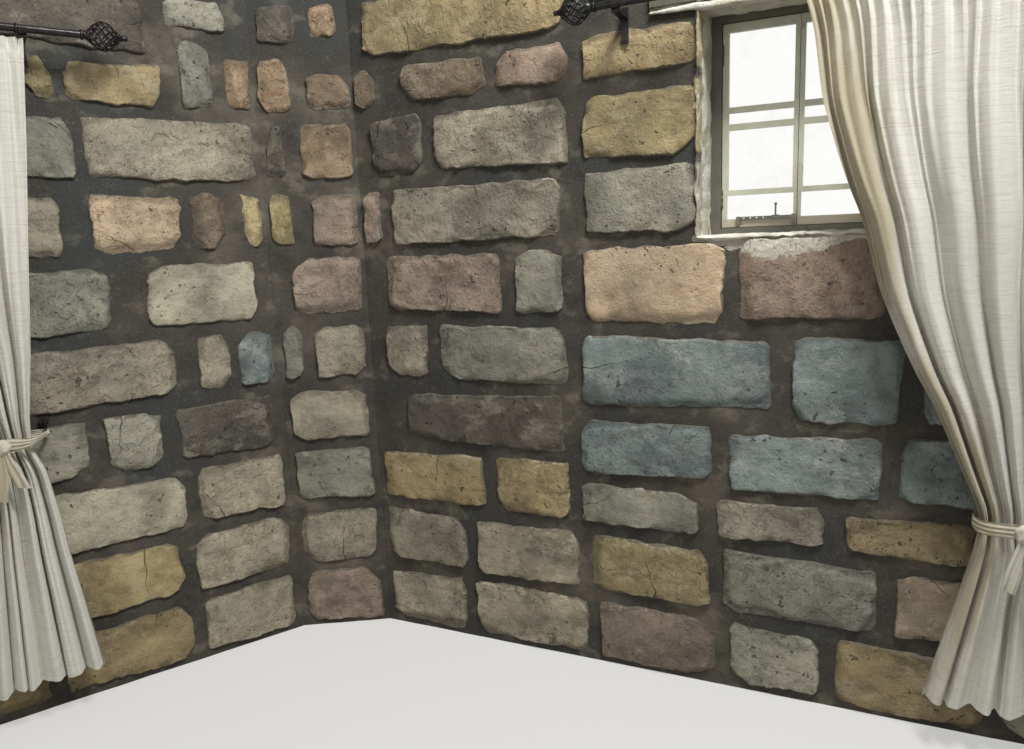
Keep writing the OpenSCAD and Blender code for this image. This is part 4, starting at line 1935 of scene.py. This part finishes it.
@dataclass
class Curtain:
    """One gathered curtain on its rings, drawn aside and tied at its waist.

    Attributes:
        side: which bay.
        finishes: all the materials.
        seed: picks its folds.
        waist: height of the tie.
        top: height of the heading.
        hem: height of the hem.
        centre: local y of its middle.
        pleats: small folds at the heading.
        folds: large folds lower down.
        rings: number of rings.
        first_ring: local x of the first ring.
        ring_step: distance from ring to ring.
        ring_low: height of the lowest point inside a ring.
        loop: inner radius of the loops sewn round the rings.
    """

    side: Side
    finishes: Finishes
    seed: int
    waist: float
    top: float = 2.1335
    hem: float = 0.15
    centre: float = -0.1
    pleats: int = 25
    folds: int = 7
    rings: int = 7
    first_ring: float = 1.54
    ring_step: float = 0.125
    ring_low: float = 2.1374
    loop: float = 0.0034

    LEADING_EDGE = (
        (-1.0, 1.893), (-0.68, 1.933), (-0.4, 1.968), (-0.15, 1.998), (-0.04, 2.006), (0.02, 2.006),
        (0.09, 1.962), (0.13, 1.938), (0.22, 1.884), (0.27, 1.842), (0.35, 1.79), (0.43, 1.743),
        (0.57, 1.69), (0.63, 1.655), (0.7, 1.621), (0.79, 1.583), (0.86, 1.569), (0.92, 1.557), (1.0, 1.524),
    )
    FAR_EDGE = (
        (-1.0, 2.288), (-0.65, 2.253), (-0.47, 2.234), (-0.3, 2.222), (-0.13, 2.204), (-0.04, 2.178),
        (0.04, 2.178), (0.23, 2.209), (0.49, 2.242), (0.73, 2.274), (1.0, 2.306),
    )

    def build(self) -> None:
        waist = self.waist
        spans = (
            (self.top, 1.98, 26), (1.97, waist + 0.1, 72), (waist + 0.092, waist - 0.1, 26),
            (waist - 0.11, self.hem, 46),
        )
        heights = np.concatenate([np.linspace(*span) for span in spans])
        across, up = np.meshgrid(np.linspace(0, 1, 320), heights)
        grid = self._surface(across, up)
        sheaf = Sheaf()
        # Painted shade: the cloth is tinted darker and warmer towards its leading edge beside the window.
        painted_shade_share = 1 - smooth_step((across - 0.06) / 0.3)
        sheaf.add_grid(BAY_PLACES[self.side].to_row(grid), marks={"shade": painted_shade_share})
        for number in range(self.rings):
            self._loop(sheaf, self.first_ring + self.ring_step * number)
        name = f"{self.side.value}_curtain"
        piece = sheaf.to_object(name + "_cloth", [self.finishes.cotton])
        keep(piece, [name])
        length = float(np.median(np.linalg.norm(np.diff(grid, axis=0), axis=2).sum(axis=0)))

    def _edge(self, outline: Outline, up: Array) -> Array:
        """Smooth outline of one edge by height.

        Args:
            outline: places along x at shares of the height, 0 at the waist, 1 at the top and -1 at the hem.
            up: heights.

        Returns:
            The places along x.
        """
        above = (up - self.waist) / (self.top - self.waist)
        below = (up - self.waist) / (self.waist - self.hem)
        share = np.where(up > self.waist, above, below)
        shares = [row[0] for row in outline]
        places = [row[1] for row in outline]
        shifts = (-0.02, -0.01, 0, 0.01, 0.02)
        return np.mean([np.interp(share + shift, shares, places) for shift in shifts], axis=0)

    def _surface(self, across: Array, up: Array) -> Array:
        """Places of the cloth.

        Args:
            across: share of the cloth's width.
            up: height.

        Returns:
            Local points.
        """
        noise = Roughness(self.seed)
        left = self._edge(self.LEADING_EDGE, up)
        right = self._edge(self.FAR_EDGE, up)
        drop = self.top - up
        pinch = np.exp(-(((up - self.waist) / 0.17) ** 2))
        tight = np.exp(-(((up - self.waist) / 0.04) ** 2))
        warp = across + 0.09 * noise.layers(across * 0.9, across * 0, 0.26, 2)
        drift = 0.03 * noise.layers(across, drop * 0.5, 0.5, 2)
        fine = 2 * math.pi * self.pleats * (warp + 0.3 * drift)
        broad = 2 * math.pi * self.folds * (warp + drift) + 0.8
        heading = np.exp(-drop / 0.3)
        tape = np.exp(-(((drop - 0.04) / 0.014) ** 2))
        small = 0.003 + 0.0125 * heading - 0.008 * tape + 0.004 * pinch
        large = 0.003 + 0.026 * smooth_step((drop - 0.01) / 0.75)
        large = large * (1 - 0.2 * pinch)
        second = 0.35 * np.sin(1.63 * broad + 3 * noise.layers(across, drop * 0.4, 0.6, 2))
        strength = 0.8 + 0.75 * noise.layers(across * 2.2, drop * 0.6, 0.42, 2)
        strength = strength + 0.35 * (1 - smooth_step(across / 0.4))
        pleat = np.sin(fine + 0.5 * np.sin(fine)) * (0.8 + 0.5 * noise.layers(across * 6, drop, 0.3, 2))
        wave = small * pleat + large * strength * (np.sin(broad + 0.4 * np.sin(broad + 0.6)) + second)
        roll = smooth_step(across / 0.03) * smooth_step((1 - across) / 0.03)
        bundle = np.sqrt(np.clip(1 - ((across - 0.5) / 0.53) ** 2, 0.06, 1))
        limit = 0.046 * (1 - pinch) + 0.043 * pinch * bundle
        depth = limit * np.tanh(wave * (0.4 + 0.6 * roll) / limit)
        creases = 0.0022 * noise.layers(across * 5, up * 0.4, 0.09, 3) * (0.35 + pinch)
        depth = (depth + creases) * (1 - 0.12 * tight)
        sway = 0.13 / self.folds * np.cos(broad - 0.3) * (1 - heading) * (right - left) * roll
        x = left + (right - left) * across + sway * (1 - 0.45 * pinch)
        hem_wave = 0.006 * np.sin(broad * 0.5) * smooth_step((self.waist - 0.3 - up) / 0.2)
        return np.stack([x, self.centre + depth, up + hem_wave], axis=-1)

    def _loop(self, sheaf: Sheaf, middle: float) -> None:
        """Adds a sewn loop that passes round the lowest part of a ring.

        Args:
            sheaf: where it goes.
            middle: local x of the ring.
        """
        path = [(middle + self.loop, self.top - 0.016)]
        for turn in np.linspace(0, math.pi, 11):
            path.append((middle + self.loop * math.cos(turn), self.ring_low + self.loop * math.sin(turn)))
        path.append((middle - self.loop, self.top - 0.016))
        wide = (-0.005, -0.0025, 0.0, 0.0025, 0.005)
        rows = [[(x, self.centre + y, z) for y in wide] for x, z in path]
        sheaf.add_grid(BAY_PLACES[self.side].to_row(np.array(rows)))


@dataclass
class TieBand:
    """Band of the same cotton round the curtain's waist, drawn to its hook and knotted in front.

    Attributes:
        side: which bay.
        finishes: all the materials.
        seed: picks its creases.
        waist: height of its middle.
        tall: its height.
        knot: local x of its knot.
    """

    PATH = (
        (2.227, -0.03), (2.205, -0.085), (2.186, -0.13), (2.165, -0.149), (2.12, -0.152),
        (2.06, -0.152), (2.015, -0.146), (1.996, -0.12), (1.994, -0.09), (2.0, -0.06),
        (2.03, -0.045), (2.09, -0.03), (2.15, -0.018), (2.2, -0.012), (2.222, -0.013),
    )

    side: Side
    finishes: Finishes
    seed: int
    waist: float
    tall: float = 0.046
    knot: float = 2.1

    def build(self) -> None:
        noise = Roughness(self.seed)
        path = closed_curve(np.array(self.PATH), 200)
        onward = np.roll(path, -1, axis=0) - np.roll(path, 1, axis=0)
        outward = np.stack([-onward[:, 1], onward[:, 0]], axis=-1)
        outward /= np.linalg.norm(outward, axis=1, keepdims=True)
        along = np.linspace(0, 0.5, len(path))
        snug = 1 - 0.5 * smooth_step((path[:, 0] - 2.12) / 0.09)
        rows = []
        for share in np.linspace(-0.5, 0.5, 17):
            crease = 0.0018 * noise.layers(along, along * 0 + share * 0.08 + along * 0.12, 0.03, 2)
            bulge = 0.0035 * math.cos(math.pi * share)
            folds = 0.002 * np.cos(share * 22 + 2.6 * noise.layers(along, along * 0 + 3, 0.09, 2))
            out = bulge + folds + crease - 0.0015
            place = path + outward * out[:, None]
            tall = self.tall * snug * (0.86 + 0.1 * noise.layers(along, along * 0, 0.08, 2))
            height = self.waist + share * tall
            rows.append(np.stack([place[:, 0], place[:, 1], height], axis=-1))
        sheaf = Sheaf()
        sheaf.add_grid(BAY_PLACES[self.side].to_row(np.array(rows)), closed=True)
        self._knot(sheaf, noise)
        self._end(sheaf, noise, -0.006, -0.022, 0.15)
        self._end(sheaf, noise, 0.007, 0.03, 0.12)
        name = f"{self.side.value}_tie_band"
        piece = sheaf.to_object(name + "_cloth", [self.finishes.tie])
        keep(piece, [name])

    def _knot(self, sheaf: Sheaf, noise: Roughness) -> None:
        """Adds the knot, a wad of cloth with folds that wind round it.

        Args:
            sheaf: where it goes.
            noise: roughness of the cloth.
        """
        turns = np.linspace(0, 2 * math.pi, 40, endpoint=False)
        turn, fall = np.meshgrid(turns, np.linspace(0.05, math.pi - 0.05, 22))
        winds = 0.11 * np.cos(2 * turn + 4.5 * fall + 0.6) + 0.05 * np.cos(5 * turn - 3 * fall)
        lumps = 0.2 * noise.layers(np.cos(turn) * 0.02 + 1, np.sin(turn) * 0.02 + fall * 0.015, 0.02, 2)
        swell = (1 + winds + lumps) * np.sin(fall)
        across = self.knot + 0.021 * swell * np.cos(turn)
        deep = -0.161 + 0.016 * swell * np.sin(turn)
        up = self.waist - 0.002 + 0.026 * np.cos(fall)
        grid = np.stack([across, deep, up], axis=-1)
        sheaf.add_grid(BAY_PLACES[self.side].to_row(grid), flip=True, closed=True)

    def _end(self, sheaf: Sheaf, noise: Roughness, shift: float, lean: float, length: float) -> None:
        """Adds one loose end that hangs from the knot.

        Args:
            sheaf: where it goes.
            noise: roughness of the cloth.
            shift: how far it starts beside the knot's middle.
            lean: how far it swings aside on its way down.
            length: its length.
        """
        across, down = np.meshgrid(np.linspace(-0.5, 0.5, 15), np.linspace(0, 1, 28))
        wide = self.tall * (0.3 + 0.5 * smooth_step(down / 0.7))
        folds = np.cos(across * 11 + 40 * shift + 1.5 * noise.layers(down, across * 0, 0.6, 1))
        x = self.knot + shift + lean * down**1.5 + wide * across
        y = -0.166 + 0.0045 * folds * (0.6 + 0.4 * down) - 0.004 * np.sin(math.pi * down)
        z = self.waist - 0.012 - length * down * (1 + 0.09 * across)
        grid = np.stack([x, y, z], axis=-1)
        sheaf.add_grid(BAY_PLACES[self.side].to_row(grid))


def closed_curve(corners: Array, count: int) -> Array:
    """Even points on a smooth closed curve through some corners.

    Args:
        corners: the corners, each x and y.
        count: number of points.

    Returns:
        The points.
    """
    number = len(corners)
    dense = []
    for one in range(number):
        before, start, end, after = (corners[(one + step) % number] for step in (-1, 0, 1, 2))
        for share in np.linspace(0, 1, 24, endpoint=False):
            dense.append(
                0.5
                * (
                    2 * start
                    + (end - before) * share
                    + (2 * before - 5 * start + 4 * end - after) * share**2
                    + (3 * start - before - 3 * end + after) * share**3
                )
            )
    dense = np.array(dense)
    steps = np.linalg.norm(np.roll(dense, -1, axis=0) - dense, axis=1)
    reach = np.concatenate([[0], np.cumsum(steps)])
    closed = np.concatenate([dense, dense[:1]])
    wanted = np.linspace(0, reach[-1], count, endpoint=False)
    return np.stack([np.interp(wanted, reach, closed[:, axis]) for axis in (0, 1)], axis=-1)


@dataclass
class Studio:
    """Camera at the photograph's angle, pale floor and plain soft light.

    Attributes:
        eye: place of the camera.
        heading: turn of the view from +Y towards +X, in degrees.
        pitch: how far it looks down, in degrees.
        roll: how far it is rolled, in degrees.
        focal: focal length in pixels of a picture as wide as PICTURE_WIDTH.
        reach: half the floor's width.
        sink: how far the floor lies under the wall.
    """

    PICTURE_WIDTH = 1024
    SENSOR = 36.0
    LIGHTS = (
        ("key", (1.5, -1.7, 4.4), (0.0, 0.3, 1.0), 0.9, 195),
        ("fill", (-1.6, -3.6, 2.4), (0.4, 0.6, 1.2), 2.6, 27),
        ("outside", (0.5, 4.8, 4.2), (0.0, 0.6, 1.3), 3.0, 230),
    )

    eye: tuple[float, float, float] = (0.4507, -2.3756, 1.5)
    heading: float = 5.0
    pitch: float = 10.0
    roll: float = -2.33
    focal: float = 769.0
    reach: float = 60.0
    sink: float = 0.001

    def build(self) -> None:
        """Sets up the camera, the floor, the lights and the world."""
        self._camera()
        self._floor()
        for light in self.LIGHTS:
            self._light(*light)
        self._world()
        bpy.context.scene.view_settings.view_transform = "Standard"

    def _world(self) -> None:
        """Makes the pale world, which is seen brighter than it lights."""
        world = bpy.data.worlds.new("room_light")
        bpy.context.scene.world = world
        world.use_nodes = True
        nodes = world.node_tree.nodes
        join = world.node_tree.links.new
        back = nodes["Background"]
        back.inputs["Color"].default_value = (1.0, 0.99, 0.97, 1)
        path = nodes.new("ShaderNodeLightPath")
        seen = nodes.new("ShaderNodeMath")
        seen.operation = "MAXIMUM"
        join(path.outputs["Is Camera Ray"], seen.inputs[0])
        join(path.outputs["Is Transmission Ray"], seen.inputs[1])
        strength = nodes.new("ShaderNodeMapRange")
        strength.inputs["To Min"].default_value = 0.35
        strength.inputs["To Max"].default_value = 1.0
        join(seen.outputs[0], strength.inputs["Value"])
        join(strength.outputs["Result"], back.inputs["Strength"])

    def _camera(self) -> None:
        """Makes the camera from the heading, pitch and roll."""
        heading = math.radians(self.heading)
        pitch = math.radians(self.pitch)
        roll = math.radians(self.roll)
        level = Vector((math.sin(heading), math.cos(heading), 0))
        right = Vector((math.cos(heading), -math.sin(heading), 0))
        forward = level * math.cos(pitch) + Vector((0, 0, -math.sin(pitch)))
        up = level * math.sin(pitch) + Vector((0, 0, math.cos(pitch)))
        rolled_right = right * math.cos(roll) + up * math.sin(roll)
        rolled_up = up * math.cos(roll) - right * math.sin(roll)
        data = bpy.data.cameras.new("camera")
        data.sensor_fit = "HORIZONTAL"
        data.sensor_width = self.SENSOR
        data.lens = self.focal / self.PICTURE_WIDTH * self.SENSOR
        camera = bpy.data.objects.new("camera", data)
        turn = Matrix((rolled_right, rolled_up, -forward)).transposed().to_4x4()
        camera.matrix_world = Matrix.Translation(self.eye) @ turn
        bpy.context.scene.collection.objects.link(camera)
        bpy.context.scene.camera = camera

    def _floor(self) -> None:
        """Makes the pale floor, which is seen a little lighter than it is lit."""
        bench = ShaderBench.start("pale_floor", 0.9)
        bench.shader.inputs["Emission Color"].default_value = srgb(250, 249, 246)
        path = bench.node("ShaderNodeLightPath")
        seen = bench.greater(path.outputs["Is Camera Ray"], path.outputs["Is Glossy Ray"])
        seen = bench.greater(seen, path.outputs["Is Transmission Ray"])
        bench.colour(bench.mix(seen, srgb(176, 174, 169), srgb(130, 129, 126)))
        bench.join(bench.times(seen, 0.5), bench.shader.inputs["Emission Strength"])
        mesh = bpy.data.meshes.new("floor")
        sides = (-self.reach, self.reach)
        mesh.from_pydata([(x, y, -self.sink) for y in sides for x in sides], [], [(0, 1, 3, 2)])
        mesh.materials.append(bench.material)
        floor = bpy.data.objects.new("floor", mesh)
        bpy.context.scene.collection.objects.link(floor)

    def _light(
        self,
        name: str,
        place: tuple[float, float, float],
        target: tuple[float, float, float],
        size: float,
        power: float,
    ) -> None:
        """Adds a square area light.

        Args:
            name: name of the light.
            place: where it stands.
            target: what it points at.
            size: width of the light.
            power: its power in watts.
        """
        data = bpy.data.lights.new(name, "AREA")
        data.size = size
        data.energy = power
        light = bpy.data.objects.new(name, data)
        light.location = place
        light.rotation_euler = (Vector(place) - Vector(target)).to_track_quat("Z", "Y").to_euler()
        bpy.context.scene.collection.objects.link(light)


def main() -> None:
    """Builds every sub-assembly in order."""
    logging.basicConfig(level=logging.INFO, format="%(name)s %(message)s")
    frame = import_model()
    nodes = frame["nodes"]
    finishes = Finishes.make()
    Studio().build()
    Masonry(finishes, nodes).build()
    for side in Side:
        Reveal(side, finishes.lime).build()
        Casement(side, finishes, nodes).build()
        CurtainPole(side, finishes, nodes).build()
        Curtain(side, finishes, CURTAIN_SEEDS[side], WAISTS[side]).build()
        TieBand(side, finishes, BAND_SEEDS[side], WAISTS[side]).build()


if __name__ == "__main__":
    main()
